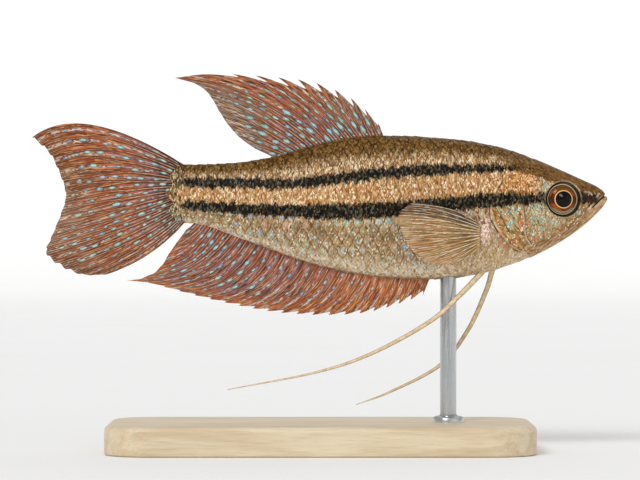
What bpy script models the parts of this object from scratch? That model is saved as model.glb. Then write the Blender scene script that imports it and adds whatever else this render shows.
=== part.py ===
"""A life-size still model of a croaking gourami, swimming, on a plain display stand.

Lengths are in millimetres until solid() scales them to metres. X runs towards the snout, Y to the fish's
left and Z up. Outlines are given as (x, z) about the fish's axis, the level line through its snout.
"""

import math

import bmesh
import bpy
from mathutils import Vector
from mathutils.geometry import intersect_point_line

MM = 0.001
GAP = 0.3
AXIS_HEIGHT = 31.0

# Outlines of the body without its fins, from the tail to the snout.
BACK = [(-18.6, 4.2), (-13.5, 4.12), (-9.1, 4.46), (-5.0, 5.2), (0.0, 6.6), (4.8, 7.45), (9.1, 7.6),
        (13.6, 7.42), (18.8, 6.85), (23.2, 5.85), (26.8, 4.45), (29.8, 3.15), (32.0, 2.15), (33.8, 1.3), (35.06, 0.4)]
BELLY = [(-18.6, -3.3), (-15.9, -3.24), (-14.1, -3.5), (-11.1, -4.6), (-6.5, -6.3), (-1.7, -8.0), (3.6, -9.3),
         (9.1, -9.95), (13.6, -10.05), (18.8, -9.55), (23.2, -8.3), (27.6, -6.4), (30.5, -4.65), (32.7, -2.95),
         (34.1, -1.6), (35.06, -0.6)]
HALF_WIDTH = [(-18.6, 0.75), (-16.0, 1.1), (-12.0, 1.75), (-7.0, 2.45), (-2.0, 3.05), (3.0, 3.55), (8.0, 3.9),
              (14.0, 4.1), (19.0, 4.05), (23.0, 3.7), (27.0, 3.05), (29.6, 2.5), (32.0, 1.85), (34.0, 1.25), (35.06, 0.95)]
WIDEST_LEVEL = [(-18.6, 0.4), (-10.0, 0.0), (0.0, -0.5), (13.0, -0.9), (22.0, -1.0), (28.0, -0.8), (32.0, -0.4),
                (35.06, -0.1)]
SNOUT_TIP = 35.06
SNOUT_ROUND = 0.8
TAIL_STALK_END = -17.4
TAIL_STALK_BULGE = 1.2
TAIL_STALK_SPLIT = -7.2

# Head: the rear edge of the gill cover from nape to throat, the fold before it, the mouth, eye and nostrils.
GILL_EDGE = [(24.2, 7.6), (22.7, 4.4), (22.1, 2.0), (21.2, 0.3), (20.5, -1.7), (21.0, -3.3), (22.7, -5.6),
             (24.6, -7.0), (26.2, -9.0)]
GILL_STEP = 0.25
GILL_RAMP = 3.2
CHEEK_FOLD = [(24.7, -0.3), (24.7, -2.2), (25.0, -4.4), (25.9, -5.7)]
CHEEK_FOLD_RADIUS = 0.22
MOUTH_FRONT = (35.5, 0.55)
MOUTH_CORNER = (33.4, -0.75)
MOUTH_GAPE = 0.34
LIP_RADIUS = 0.26
LIP_OFFSET = 0.33
LIP_SUNK = 0.12
LIP_STEPS = 19
EYE_CENTRE = (29.6, -0.2)
EYE_RADIUS = 2.1
EYE_DEPTH = 1.1
EYE_STANDS_OUT = 0.85
EYE_TURN = math.radians(12)
EYE_RIM_RADIUS = 0.24
NOSTRILS = [((32.7, 0.75), 0.24), ((31.9, 1.25), 0.19)]

# Median fins. A margin lists the ray tips' outline; rays are spread evenly along it.
FIN_ROOT_HALF = 0.42
FIN_EDGE_HALF = 0.25
RAY_RIDGE = 0.14
RAY_TIP_HALF = 0.14
RAY_SHOULDER = 0.2

DORSAL_ROOT = (7.4, -5.6)
DORSAL_LEADING = [(7.0, 9.3), (3.7, 12.15), (-0.5, 14.0), (-5.2, 14.7), (-10.8, 15.1)]
DORSAL_TIP = (-17.8, 14.5)
DORSAL_TRAILING = [(-15.2, 13.9), (-12.8, 11.8), (-10.8, 8.1), (-6.4, 5.4)]
ANAL_ROOT = [(0, 13.4), (8, 3.2), (14, -5.0), (20, -11.0), (26, -15.3)]
ANAL_LEADING = [(12.4, -12.2), (5.8, -14.0), (-3.1, -14.1), (-11.7, -12.7), (-21.0, -10.4)]
ANAL_TIP = (-23.8, -10.1)
ANAL_TRAILING = [(-22.3, -10.0), (-20.0, -8.9), (-18.1, -6.2), (-16.4, -3.9)]
TAIL_TIPS = [(-35.2, 7.3), (-33.2, 5.5), (-31.9, 2.9), (-31.2, 0.3), (-31.8, -2.1), (-32.9, -4.9), (-33.6, -6.9),
             (-31.6, -8.4), (-27.2, -9.7)]

# Paired fins: where they grow, and their margins.
PECTORAL_ROOT = (19.4, -4.55)
PECTORAL_ROOT_HEIGHT = 2.7
PECTORAL_MARGIN = [(10.9, -0.7), (9.4, -2.2), (10.1, -5.0), (12.4, -7.7), (15.9, -8.2)]
PECTORAL_SPREAD = math.radians(16)
PECTORAL_ROLL = math.radians(13)
PECTORAL_ROOT_HALF = 0.45
PECTORAL_STANDS_OFF = 0.65
PELVIC_NEAR = [(19.6, -9.2), (16.5, -12.3), (13.1, -15.2), (6.3, -18.9), (-0.5, -21.2), (-11.3, -23.3)]
PELVIC_FAR = [(21.0, -9.0), (20.3, -11.5), (18.1, -16.3), (14.7, -20.6), (8.8, -23.8), (4.4, -25.5)]
PELVIC_ROOT_OUT = 0.95
PELVIC_TIP_OUT = 4.2
PELVIC_RADII = (0.37, 0.31, 0.25, 0.12)

# Stand.
BASE_SIZE = (52.0, 26.0, 3.6)
BASE_CORNER = 6.0
BASE_BEVEL = 0.6
ROD_X = 15.6
ROD_RADIUS = 1.0
ROD_SOCKET_DEPTH = 2.5


def mix(a, b, share):
    return a + (b - a) * share


def ease(value):
    value = min(1.0, max(0.0, value))
    return value * value * (3 - 2 * value)


def smooth(points):
    """A smooth function through (x, value) points, by cubic pieces with averaged slopes."""
    points = sorted(points)
    xs = [p[0] for p in points]
    ys = [p[1] for p in points]
    steps = [b - a for a, b in zip(xs, xs[1:])]
    rises = [(b - a) / step for a, b, step in zip(ys, ys[1:], steps)]
    slopes = [rises[0]]
    for i in range(1, len(xs) - 1):
        before, after = steps[i - 1], steps[i]
        slopes.append((rises[i - 1] * after + rises[i] * before) / (before + after))
    slopes.append(rises[-1])

    def value(x):
        i = 0
        while i < len(steps) - 1 and x > xs[i + 1]:
            i += 1
        t = (x - xs[i]) / steps[i]
        return (
            (2 * t**3 - 3 * t**2 + 1) * ys[i]
            + (t**3 - 2 * t**2 + t) * steps[i] * slopes[i]
            + (3 * t**2 - 2 * t**3) * ys[i + 1]
            + (t**3 - t**2) * steps[i] * slopes[i + 1]
        )

    return value


def along(points, count):
    """count points spread evenly in number along the smooth line through points, both ends included."""
    parts = [smooth([(i, p[axis]) for i, p in enumerate(points)]) for axis in range(len(points[0]))]
    last = len(points) - 1
    return [tuple(part(last * i / (count - 1)) for part in parts) for i in range(count)]


back = smooth(BACK)
belly = smooth(BELLY)
half_width = smooth(HALF_WIDTH)
widest_level = smooth(WIDEST_LEVEL)
gill_line = along(GILL_EDGE, 25)


def section(x):
    """(half width, level of the widest point, height above it, depth below it) of the body at x."""
    level = widest_level(x)
    share = (x - SNOUT_TIP + SNOUT_ROUND) / SNOUT_ROUND
    rounding = math.sqrt(max(0.0, 1 - share * share)) if share > 0 else 1.0
    return half_width(x) * rounding, level, (back(x) - level) * rounding, (level - belly(x)) * rounding


def fullness(x):
    """Exponents of the section's rounded shape, above and below: 2 is an ellipse and more is boxier."""
    return 2.05 + 0.35 * ease((x - 18) / 10), 1.95 + 0.15 * ease((x - 18) / 10)


def side(x, z):
    """Half the body's width at (x, z)."""
    wide, level, above, below = section(x)
    power = fullness(x)[0 if z > level else 1]
    height = above if z > level else below
    if not height > 0:
        return 0.0
    share = min(1.0, abs(z - level) / height)
    return wide * (1 - share**power) ** (1 / power)


def gill_distance(x, z):
    """Distance from (x, z) forward to the gill cover's edge line."""
    point = Vector((x, z))
    nearest = 1e9
    for a, b in zip(gill_line, gill_line[1:]):
        spot, share = intersect_point_line(point, Vector(a), Vector(b))
        spot = Vector(a) if share < 0 else Vector(b) if share > 1 else spot
        nearest = min(nearest, (point - spot.to_2d()).length)
    return nearest


def gill_swell(x, z):
    """How far the gill cover stands proud of the body behind it."""
    low_enough = ease((3.5 - z) / 2.5)
    return GILL_STEP * low_enough * ease(1 - gill_distance(x, z) / GILL_RAMP)


def body_ring(x, count, swell=None):
    """The body's section at x as count points, from the left side over the back and round."""
    wide, level, above, below = section(x)
    upper, lower = fullness(x)
    ring = []
    for i in range(count):
        angle = 2 * math.pi * i / count
        across, up = math.cos(angle), math.sin(angle)
        power = 2 / (upper if up >= 0 else lower)
        y = wide * math.copysign(abs(across) ** power, across)
        z = level + (above if up >= 0 else below) * math.copysign(abs(up) ** power, up)
        if swell:
            y += math.copysign(swell(x, z) * abs(across), across)
        ring.append((x, y, z))
    return ring


def stalk_ring(x, count):
    """A section of the tail stalk, bulging rearwards at mid height as it nears the fin."""
    share = ease((TAIL_STALK_END + 4 - x) / 4)
    middle, half = (back(x) + belly(x)) / 2, (back(x) - belly(x)) / 2
    return [(px - TAIL_STALK_BULGE * share * (1 - ((pz - middle) / half) ** 2), py, pz)
            for px, py, pz in body_ring(x, count)]


def material(name, colour, roughness, metallic=0.0):
    made = bpy.data.materials.new(name)
    made.use_nodes = True
    shader = made.node_tree.nodes["Principled BSDF"]
    shader.inputs["Base Color"].default_value = (*colour, 1.0)
    shader.inputs["Roughness"].default_value = roughness
    shader.inputs["Metallic"].default_value = metallic
    return made


def solid(name, points, faces, finish=None, raised=True, sharp=40):
    """An object from points in millimetres. raised lifts it from the fish's axis to its height over the floor."""
    lift = AXIS_HEIGHT if raised else 0.0
    mesh = bpy.data.meshes.new(name)
    mesh.from_pydata([(x * MM, y * MM, (z + lift) * MM) for x, y, z in points], [], faces)
    shape = bmesh.new()
    shape.from_mesh(mesh)
    bmesh.ops.recalc_face_normals(shape, faces=shape.faces)
    if shape.calc_volume(signed=True) < 0:
        bmesh.ops.reverse_faces(shape, faces=shape.faces)
    shape.to_mesh(mesh)
    shape.free()
    mesh.shade_smooth()
    mesh.set_sharp_from_angle(angle=math.radians(sharp))
    if finish:
        mesh.materials.append(finish)
    made = bpy.data.objects.new(name, mesh)
    bpy.context.scene.collection.objects.link(made)
    return made


def loft(name, rings, finish=None, tip=None, **options):
    """A closed skin over rings of equal count, ending flat or, at the far end, in one point."""
    count = len(rings[0])
    points = [p for ring in rings for p in ring]
    faces = [tuple(range(count))]
    for r in range(len(rings) - 1):
        for i in range(count):
            j = (i + 1) % count
            faces.append((r * count + i, r * count + j, (r + 1) * count + j, (r + 1) * count + i))
    start = (len(rings) - 1) * count
    if tip is None:
        faces.append(tuple(range(start, start + count)))
    else:
        points.append(tip)
        faces += [(start + i, start + (i + 1) % count, len(points) - 1) for i in range(count)]
    return solid(name, points, faces, finish, **options)


def prism(name, outline, half):
    """The (x, z) outline carried half each way across the fish."""
    rings = [[(x, y, z) for x, z in outline] for y in (-half, half)]
    return loft(name, rings)


def tube(name, path, radii, sides=8, closed=False):
    """A round bar along 3-D points, with one radius a point; closed joins its ends."""
    path = [Vector(p) for p in path]
    rings = []
    count = len(path)
    for i, here in enumerate(path):
        ahead = path[(i + 1) % count] if closed or i < count - 1 else here
        behind = path[i - 1] if closed or i else here
        forward = (ahead - behind).normalized()
        across = forward.cross(Vector((0, 1, 0))).normalized()
        up = across.cross(forward)
        turns = [2 * math.pi * k / sides for k in range(sides)]
        rings.append([tuple(here + radii[i] * (math.cos(a) * across + math.sin(a) * up)) for a in turns])
    if not closed:
        return loft(name, rings)
    points = [p for ring in rings for p in ring]
    faces = [(r * sides + k, r * sides + (k + 1) % sides,
              (r + 1) % count * sides + (k + 1) % sides, (r + 1) % count * sides + k)
             for r in range(count) for k in range(sides)]
    return solid(name, points, faces)


def ball(name, centre, sizes, turn=0.0, rings=10, sides=16):
    """An ellipsoid with the given half sizes, turned about the vertical."""
    points, faces = [], []
    cos, sin = math.cos(turn), math.sin(turn)
    for r in range(rings + 1):
        latitude = math.pi * r / rings
        for k in range(sides if 0 < r < rings else 1):
            longitude = 2 * math.pi * k / sides
            x = sizes[0] * math.sin(latitude) * math.cos(longitude)
            y = sizes[1] * math.cos(latitude)
            z = sizes[2] * math.sin(latitude) * math.sin(longitude)
            points.append((centre[0] + x * cos - y * sin, centre[1] + x * sin + y * cos, centre[2] + z))
    first = [1 + (r - 1) * sides for r in range(1, rings)]
    for k in range(sides):
        j = (k + 1) % sides
        faces.append((0, first[0] + k, first[0] + j))
        faces.append((len(points) - 1, first[-1] + k, first[-1] + j))
        faces += [(a + k, a + j, b + j, b + k) for a, b in zip(first, first[1:])]
    return solid(name, points, faces)


def combine(target, pieces, operation, solver="EXACT"):
    """Joins pieces to target, or cuts them from it, applies that and keeps the largest closed surface."""
    group = bpy.data.collections.new(target.name + "_pieces")
    for piece in pieces:
        group.objects.link(piece)
    modifier = target.modifiers.new(operation.title(), "BOOLEAN")
    modifier.operation = operation
    modifier.operand_type = "COLLECTION"
    modifier.collection = group
    modifier.solver = solver
    graph = bpy.context.evaluated_depsgraph_get()
    made = bpy.data.meshes.new_from_object(target.evaluated_get(graph))
    target.modifiers.clear()
    target.data = made
    for piece in list(group.objects):
        bpy.data.objects.remove(piece)
    bpy.data.collections.remove(group)
    keep_largest(made)
    return target


def keep_largest(mesh):
    """Drops every closed surface but the one that reaches furthest."""
    shape = bmesh.new()
    shape.from_mesh(mesh)
    left, parts = set(shape.verts), []
    while left:
        part, edge = set(), [left.pop()]
        while edge:
            vertex = edge.pop()
            part.add(vertex)
            near = {e.other_vert(vertex) for e in vertex.link_edges} & left
            left -= near
            edge += near
        parts.append(part)
    biggest = max(parts, key=len)
    bmesh.ops.delete(shape, geom=[v for v in shape.verts if v not in biggest], context="VERTS")
    shape.to_mesh(mesh)
    shape.free()


def ray_point(ray, t):
    """A point of a fin ray, which bends by its bow to one side of the line from root to tip, most near its bend."""
    root, tip = Vector(ray["root"]), Vector(ray["tip"])
    chord = tip - root
    control = root + ray["bend"] * chord + 2 * ray["bow"] * Vector((-chord.y, chord.x))
    return (1 - t) ** 2 * root + 2 * t * (1 - t) * control + t * t * tip


def fin_columns(rays):
    """The lines of a ray fin from its first ray to its last: a crest for each ray with a shoulder each side."""
    columns = []
    for i in range(len(rays)):
        if i:
            columns.append((i, i - 1, False))
        columns.append((i, i, True))
        if i < len(rays) - 1:
            columns.append((i, i + 1, False))
    return columns


def ray_fin(name, rays, finish, rows, mid, lean=(0, 1, 0), root_half=FIN_ROOT_HALF):
    """A thin fin whose rays are ridges raised in its own surface.

    mid gives the fin's middle level across the fish for a ray's number, share of its length and place;
    lean is the fin's facing, along which it is thick.
    """
    lean = Vector(lean).normalized()
    columns = fin_columns(rays)
    faces_out = {1: [], -1: []}
    for i, neighbour, crest in columns:
        for row in range(rows + 1):
            reach = 1.0 if crest else 1 - rays[i]["notch"]
            t = reach * row / rows
            spot = ray_point(rays[i], t)
            if not crest:
                beside = ray_point(rays[neighbour], t)
                share = min(0.32, RAY_SHOULDER / max((beside - spot).length, 1e-6))
                spot = mix(spot, beside, share)
            half = mix(root_half, FIN_EDGE_HALF, min(1.0, 2.2 * t))
            if crest:
                half += RAY_RIDGE * (1 - t)
                half = mix(half, RAY_TIP_HALF, ease((t - 0.85) / 0.15))
            elif row == rows:
                half = RAY_TIP_HALF
            centre = Vector((spot.x, mid(i, t, spot.x, spot.y), spot.y))
            for way in (1, -1):
                faces_out[way].append(centre + way * half * lean)
    points = faces_out[1] + faces_out[-1]
    other = len(faces_out[1])
    stride = rows + 1
    faces = []
    for c in range(len(columns) - 1):
        for row in range(rows):
            a, b = c * stride + row, (c + 1) * stride + row
            for start in (0, other):
                faces.append((a + start, b + start, b + 1 + start))
                faces.append((a + start, b + 1 + start, a + 1 + start))
    rim = [c * stride for c in range(len(columns))]
    rim += [(len(columns) - 1) * stride + row for row in range(1, rows + 1)]
    rim += [c * stride + rows for c in reversed(range(len(columns) - 1))]
    rim += [row for row in reversed(range(1, rows))]
    for a, b in zip(rim, rim[1:] + rim[:1]):
        faces.append((a, b, b + other))
        faces.append((a, b + other, a + other))
    return solid(name, [tuple(p) for p in points], faces, finish, sharp=60)


def make_rays(roots, tips, bow, notch, bend=lambda i: 0.5):
    """The rays of a fin. bow, notch and bend are functions of a ray's number, counted from the leading edge."""
    return [{"root": root, "tip": tip, "bow": bow(i), "notch": notch(i), "bend": bend(i)}
            for i, (root, tip) in enumerate(zip(roots, tips))]


def dorsal_fin(finish, rows=8):
    leading = along(DORSAL_LEADING, 9)
    tips = leading + [DORSAL_TIP] + along(DORSAL_TRAILING, 7)
    last = len(tips) - 1
    xs = [mix(*DORSAL_ROOT, i / last) for i in range(last + 1)]
    roots = [(x, back(x) + GAP) for x in xs]
    bow = smooth([(0, 0.0), (4, -0.01), (9, -0.1), (12, -0.05), (last, 0.0)])
    notch = smooth([(0, 0.3), (3, 0.14), (8, 0.06), (10, 0.02), (last, 0.03)])
    rays = make_rays(roots, tips, bow, notch)

    def wave(i, t, x, z):
        return 0.7 * t * t * math.sin(0.45 * i - 0.8)

    return ray_fin("dorsal_fin", rays, finish, rows, wave)


def anal_fin(finish, rows=7):
    tips = along(ANAL_LEADING, 20) + [ANAL_TIP] + along(ANAL_TRAILING, 6)
    root_x = smooth(ANAL_ROOT)
    last = len(tips) - 1
    roots = [(root_x(i), belly(root_x(i)) - GAP) for i in range(last + 1)]
    bow = smooth([(0, 0.02), (8, 0.06), (20, 0.15), (23, 0.1), (last, 0.04)])
    notch = smooth([(0, 0.4), (4, 0.2), (10, 0.12), (18, 0.05), (last, 0.02)])
    rays = make_rays(roots, tips, bow, notch)

    def wave(i, t, x, z):
        return 0.6 * t * t * math.sin(0.33 * i + 0.4)

    return ray_fin("anal_fin", rays, finish, rows, wave)


def tail_fin(finish, rows=9):
    tips = along(TAIL_TIPS, 17)
    last = len(tips) - 1
    top, bottom = back(TAIL_STALK_END), belly(TAIL_STALK_END)
    middle, half = (top + bottom) / 2, (top - bottom) / 2
    roots = []
    for i in range(last + 1):
        level = mix(0.97, -0.97, i / last)
        roots.append((TAIL_STALK_END - GAP - TAIL_STALK_BULGE * (1 - level**2), middle + half * level))
    bow = smooth([(0, -0.15), (4, -0.06), (8, 0.0), (12, 0.03), (last, 0.07)])
    notch = smooth([(0, 0.015), (10, 0.02), (13, 0.05), (last, 0.04)])
    bend = smooth([(0, 0.74), (3, 0.62), (6, 0.5), (last, 0.5)])
    rays = make_rays(roots, tips, bow, notch, bend)

    def wave(i, t, x, z):
        return 0.8 * t * t * math.sin(0.5 * i - 1.0)

    return ray_fin("tail_fin", rays, finish, rows, wave)


def pectoral_place(sign):
    """The middle of the pectoral fin's root on one side, and its levels across the fish."""
    x, z = PECTORAL_ROOT
    out = side(x, z) + PECTORAL_STANDS_OFF
    spread, roll = math.tan(PECTORAL_SPREAD), math.tan(PECTORAL_ROLL)

    def across(i, t, px, pz):
        return sign * (out + (x - px) * spread + (pz - z) * roll - 0.012 * (x - px) ** 2)

    return Vector((x, sign * out, z)), across


def pectoral_fin(name, sign, finish, rows=6):
    tips = along(PECTORAL_MARGIN, 12)
    last = len(tips) - 1
    roots = []
    for i in range(last + 1):
        level = mix(0.5, -0.5, i / last)
        roots.append((PECTORAL_ROOT[0] - GAP, PECTORAL_ROOT[1] + PECTORAL_ROOT_HEIGHT * level))
    bow = smooth([(0, -0.07), (6, 0.0), (last, 0.06)])
    rays = make_rays(roots, tips, bow, lambda i: 0.03)
    _, across = pectoral_place(sign)
    lean = (math.sin(PECTORAL_SPREAD), sign, -math.sin(PECTORAL_ROLL))
    return ray_fin(name, rays, finish, rows, across, lean, PECTORAL_ROOT_HALF)


def pectoral_lobe(sign):
    """The fleshy base that carries a pectoral fin, cut flat where the fin meets it."""
    centre, across = pectoral_place(sign)
    x, z = PECTORAL_ROOT
    lobe = ball("lobe", (x + 0.5, centre.y - sign * 0.3, z), (1.6, 0.75, 1.7))
    behind = [(x, -9.0), (x - 4, -9.0), (x - 4, 0.0), (x, 0.0)]
    rings = [[(px, sign * y, pz) for px, pz in behind] for y in (side(x, z) * 0.4, side(x, z) + 4)]
    return combine(lobe, [loft("behind", rings)], "DIFFERENCE")


def pelvic_route(points, sign, count=30):
    """A pelvic filament's middle line from its root to its tip, drifting away from the mid plane."""
    route = []
    for i, (x, z) in enumerate(along(points, count)):
        route.append(Vector((x, sign * mix(PELVIC_ROOT_OUT, PELVIC_TIP_OUT, (i / (count - 1)) ** 0.6), z)))
    return route


def pelvic_fin(name, points, sign, finish):
    """One pelvic filament in two lengths, and the short stub on the belly that it grows from."""
    route = pelvic_route(points, sign)
    radius = smooth([(i * (len(route) - 1) / 3, r) for i, r in enumerate(PELVIC_RADII)])
    spans = {"stub": (0, 2), name + "_base": (2, 14), name + "_tip": (14, len(route) - 1)}
    made = []
    for label, (start, stop) in spans.items():
        path = route[start:stop + 1]
        if label != "stub":
            path[0] = path[0] + GAP * (path[1] - path[0]).normalized()
        else:
            path[0] = path[0] - 1.2 * (path[1] - path[0]).normalized()
        made.append(tube(label, path, [radius(start + k) for k in range(len(path))]))
    for piece in made[1:]:
        piece.data.materials.append(finish)
    return made


def eye_place(sign, grown=0.0):
    x, z = EYE_CENTRE
    out = side(x, z) + EYE_STANDS_OUT - EYE_DEPTH
    sizes = (EYE_RADIUS + grown, EYE_DEPTH + grown, EYE_RADIUS + grown)
    return (x, sign * out, z), sizes, -sign * EYE_TURN


def eye(name, sign, finish):
    made = ball(name, *eye_place(sign), rings=10, sides=24)
    made.data.materials.append(finish)
    return made


def eye_rim(sign):
    """A fleshy ring round the eye, half sunk in the head."""
    x, z = EYE_CENTRE
    ring = []
    for k in range(28):
        angle = 2 * math.pi * k / 28
        px = x + (EYE_RADIUS + 0.32) * math.cos(angle)
        pz = z + (EYE_RADIUS + 0.32) * math.sin(angle)
        ring.append((px, sign * side(px, pz), pz))
    return tube("rim", ring, [EYE_RIM_RADIUS] * len(ring), sides=6, closed=True)


def surface_fold(points, sign, radius, count=10):
    """A raised fold along a line of the head's side, tapering to both ends."""
    line = along(points, count)
    path = [(x, sign * side(x, z), z) for x, z in line]
    return tube("fold", path, [radius * (0.4 + 0.6 * math.sin(math.pi * i / (count - 1))) for i in range(count)], 6)


def lip(way):
    """A lip from one corner of the mouth round the snout to the other, above the slit or (way -1) below it."""
    slit = Vector(MOUTH_FRONT) - Vector(MOUTH_CORNER)
    up = way * LIP_OFFSET * Vector((-slit.y, slit.x)).normalized()
    wide = side(*(Vector(MOUTH_CORNER) + up))
    path, radii = [], []
    for i in range(LIP_STEPS):
        angle = math.pi * (i / (LIP_STEPS - 1) - 0.5)
        y = wide * math.sin(angle)
        near, far = 0.0, 1.0
        for _ in range(20):
            share = (near + far) / 2
            spot = Vector(MOUTH_CORNER) + share * slit + up
            near, far = (share, far) if side(*spot) > abs(y) else (near, share)
        path.append((spot.x - LIP_SUNK * math.cos(angle), y - LIP_SUNK * math.sin(angle), spot.y))
        radii.append(LIP_RADIUS * mix(0.45, 1.0, math.cos(angle)))
    return tube("lip", path, radii, sides=6)


def head(finish):
    xs = [mix(19.6, 32.4, i / 16) for i in range(16)] + [32.4, 32.9, 33.4, 33.8, 34.15, 34.45, 34.7, 34.88, 35.0]
    rings = [body_ring(x, 40, gill_swell) for x in xs]
    made = loft("head", rings, finish, tip=(SNOUT_TIP, 0, widest_level(SNOUT_TIP)))
    extras = [lip(1), lip(-1)]
    for sign in (1, -1):
        extras += [eye_rim(sign), surface_fold(CHEEK_FOLD, sign, CHEEK_FOLD_RADIUS)]
    combine(made, extras, "UNION")
    behind = gill_line + [(16.0, -12.0), (16.0, 10.0)]
    cutters = [prism("behind_gill", behind, 8.0)]
    cutters += [ball("socket", *eye_place(sign, GAP), rings=10, sides=24) for sign in (1, -1)]
    cutters.append(prism("mouth", mouth_outline(), 3.0))
    for (x, z), radius in NOSTRILS:
        cutters += [ball("nostril", (x, sign * side(x, z), z), (radius, 0.3, radius), rings=6, sides=8)
                    for sign in (1, -1)]
    return combine(made, cutters, "DIFFERENCE")


def mouth_outline():
    """The slit between the jaws, narrowing to the corner of the mouth."""
    front, corner = Vector(MOUTH_FRONT), Vector(MOUTH_CORNER)
    way = (corner - front).normalized()
    up = Vector((-way.y, way.x)) * MOUTH_GAPE / 2
    return [tuple(front + up), tuple(corner + up * 0.5), tuple(corner - up * 0.5), tuple(front - up)]


def trunk(finish, pelvic_stubs):
    xs = [mix(TAIL_STALK_SPLIT + GAP / 2, 28.0, i / 22) for i in range(23)]
    made = loft("trunk", [body_ring(x, 36) for x in xs], finish)
    ahead = [offset_from(gill_line, i, -GAP) for i in range(len(gill_line))]
    combine(made, [prism("ahead_of_gill", ahead + [(32.0, -12.0), (32.0, 10.0)], 8.0)], "DIFFERENCE")
    return combine(made, [pectoral_lobe(1), pectoral_lobe(-1)] + pelvic_stubs, "UNION")


def offset_from(line, i, distance):
    """The i-th point of a line moved sideways from it."""
    before, after = Vector(line[max(0, i - 1)]), Vector(line[min(len(line) - 1, i + 1)])
    way = (after - before).normalized()
    return tuple(Vector(line[i]) + distance * Vector((-way.y, way.x)))


def tail_stalk(finish):
    xs = [mix(TAIL_STALK_SPLIT - GAP / 2, TAIL_STALK_END, i / 9) for i in range(10)]
    return loft("tail_stalk", [stalk_ring(x, 32) for x in xs], finish)


def stand(wood, steel):
    length, width, height = BASE_SIZE
    outline = []
    for cx, cy, start in ((1, 1, 0), (-1, 1, 90), (-1, -1, 180), (1, -1, 270)):
        for step in range(7):
            angle = math.radians(start + 90 * step / 6)
            outline.append((cx * (length / 2 - BASE_CORNER) + BASE_CORNER * math.cos(angle),
                            cy * (width / 2 - BASE_CORNER) + BASE_CORNER * math.sin(angle)))
    shrink = 1 - BASE_BEVEL / (length / 2), 1 - BASE_BEVEL / (width / 2)
    rings = [[(x, y, z) for x, y in outline] for z in (0.0, height - BASE_BEVEL)]
    rings.append([(x * shrink[0], y * shrink[1], height) for x, y in outline])
    base = loft("stand_base", rings, wood, raised=False)
    floor_of_socket = height - ROD_SOCKET_DEPTH
    hole = round_bar("hole", ROD_RADIUS + GAP, floor_of_socket, height + 1)
    combine(base, [hole], "DIFFERENCE")
    rod = round_bar("stand_rod", ROD_RADIUS, floor_of_socket + GAP, AXIS_HEIGHT + belly(ROD_X) - GAP)
    rod.data.materials.append(steel)
    return base, rod


def round_bar(name, radius, low, high, sides=24):
    turns = [2 * math.pi * k / sides for k in range(sides)]
    rings = [[(ROD_X + radius * math.cos(a), radius * math.sin(a), z) for a in turns] for z in (low, high)]
    return loft(name, rings, raised=False)


def main():
    for old in list(bpy.data.objects):
        bpy.data.objects.remove(old)
    skin = material("skin", (0.42, 0.31, 0.18), 0.4)
    fin = material("fin", (0.45, 0.17, 0.09), 0.45)
    pale_fin = material("pale_fin", (0.62, 0.5, 0.32), 0.45)
    iris = material("eye", (0.28, 0.1, 0.03), 0.12)
    wood = material("wood", (0.72, 0.68, 0.6), 0.5)
    steel = material("steel", (0.7, 0.7, 0.7), 0.25, 1.0)
    near = pelvic_fin("pelvic_right", PELVIC_NEAR, -1, pale_fin)
    far = pelvic_fin("pelvic_left", PELVIC_FAR, 1, pale_fin)
    head(skin)
    trunk(skin, [near[0], far[0]])
    tail_stalk(skin)
    dorsal_fin(fin)
    anal_fin(fin)
    tail_fin(fin)
    for name, sign in (("left", 1), ("right", -1)):
        pectoral_fin("pectoral_" + name, sign, pale_fin)
        eye("eye_" + name, sign, iris)
    stand(wood, steel)


main()
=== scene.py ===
"""The looks of the croaking gourami on its display stand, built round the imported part.

Shapes are worked out in millimetres about the fish's axis, the level line through its snout, and mesh() turns
them into metres in the part's frame. X runs towards the snout, Y to the fish's left and Z up.
"""

import math

import bpy
import numpy as np
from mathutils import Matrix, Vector


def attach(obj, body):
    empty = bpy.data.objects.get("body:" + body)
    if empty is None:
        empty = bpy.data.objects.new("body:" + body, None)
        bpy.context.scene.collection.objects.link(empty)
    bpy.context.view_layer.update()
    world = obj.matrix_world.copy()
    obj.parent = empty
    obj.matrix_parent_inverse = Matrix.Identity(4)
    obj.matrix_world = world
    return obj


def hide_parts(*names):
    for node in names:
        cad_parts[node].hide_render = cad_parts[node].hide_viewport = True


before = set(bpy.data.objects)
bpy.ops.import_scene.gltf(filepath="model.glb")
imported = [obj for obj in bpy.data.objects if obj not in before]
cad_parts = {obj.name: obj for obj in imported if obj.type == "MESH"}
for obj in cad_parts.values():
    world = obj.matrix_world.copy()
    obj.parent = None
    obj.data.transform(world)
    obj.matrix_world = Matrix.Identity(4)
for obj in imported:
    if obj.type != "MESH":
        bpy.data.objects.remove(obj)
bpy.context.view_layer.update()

MM = 0.001
AXIS_HEIGHT = 31.0

# The body's outlines and sections, as in the part.
BACK = [(-18.6, 4.2), (-13.5, 4.12), (-9.1, 4.46), (-5.0, 5.2),
        (0.0, 6.6), (4.8, 7.45), (9.1, 7.6), (13.6, 7.42), (18.8, 6.85),
        (23.2, 5.85), (26.8, 4.45), (29.8, 3.15), (32.0, 2.15), (33.8, 1.3), (35.06, 0.4)]
BELLY = [(-18.6, -3.3), (-15.9, -3.24), (-14.1, -3.5), (-11.1, -4.6),
         (-6.5, -6.3), (-1.7, -8.0), (3.6, -9.3), (9.1, -9.95), (13.6, -10.05), (18.8, -9.55),
         (23.2, -8.3), (27.6, -6.4), (30.5, -4.65), (32.7, -2.95), (34.1, -1.6), (35.06, -0.6)]
HALF_WIDTH = [(-18.6, 0.75), (-16.0, 1.1), (-12.0, 1.75), (-7.0, 2.45),
              (-2.0, 3.05), (3.0, 3.55), (8.0, 3.9), (14.0, 4.1), (19.0, 4.05),
              (23.0, 3.7), (27.0, 3.05), (29.6, 2.5), (32.0, 1.85), (34.0, 1.25), (35.06, 0.95)]
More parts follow.
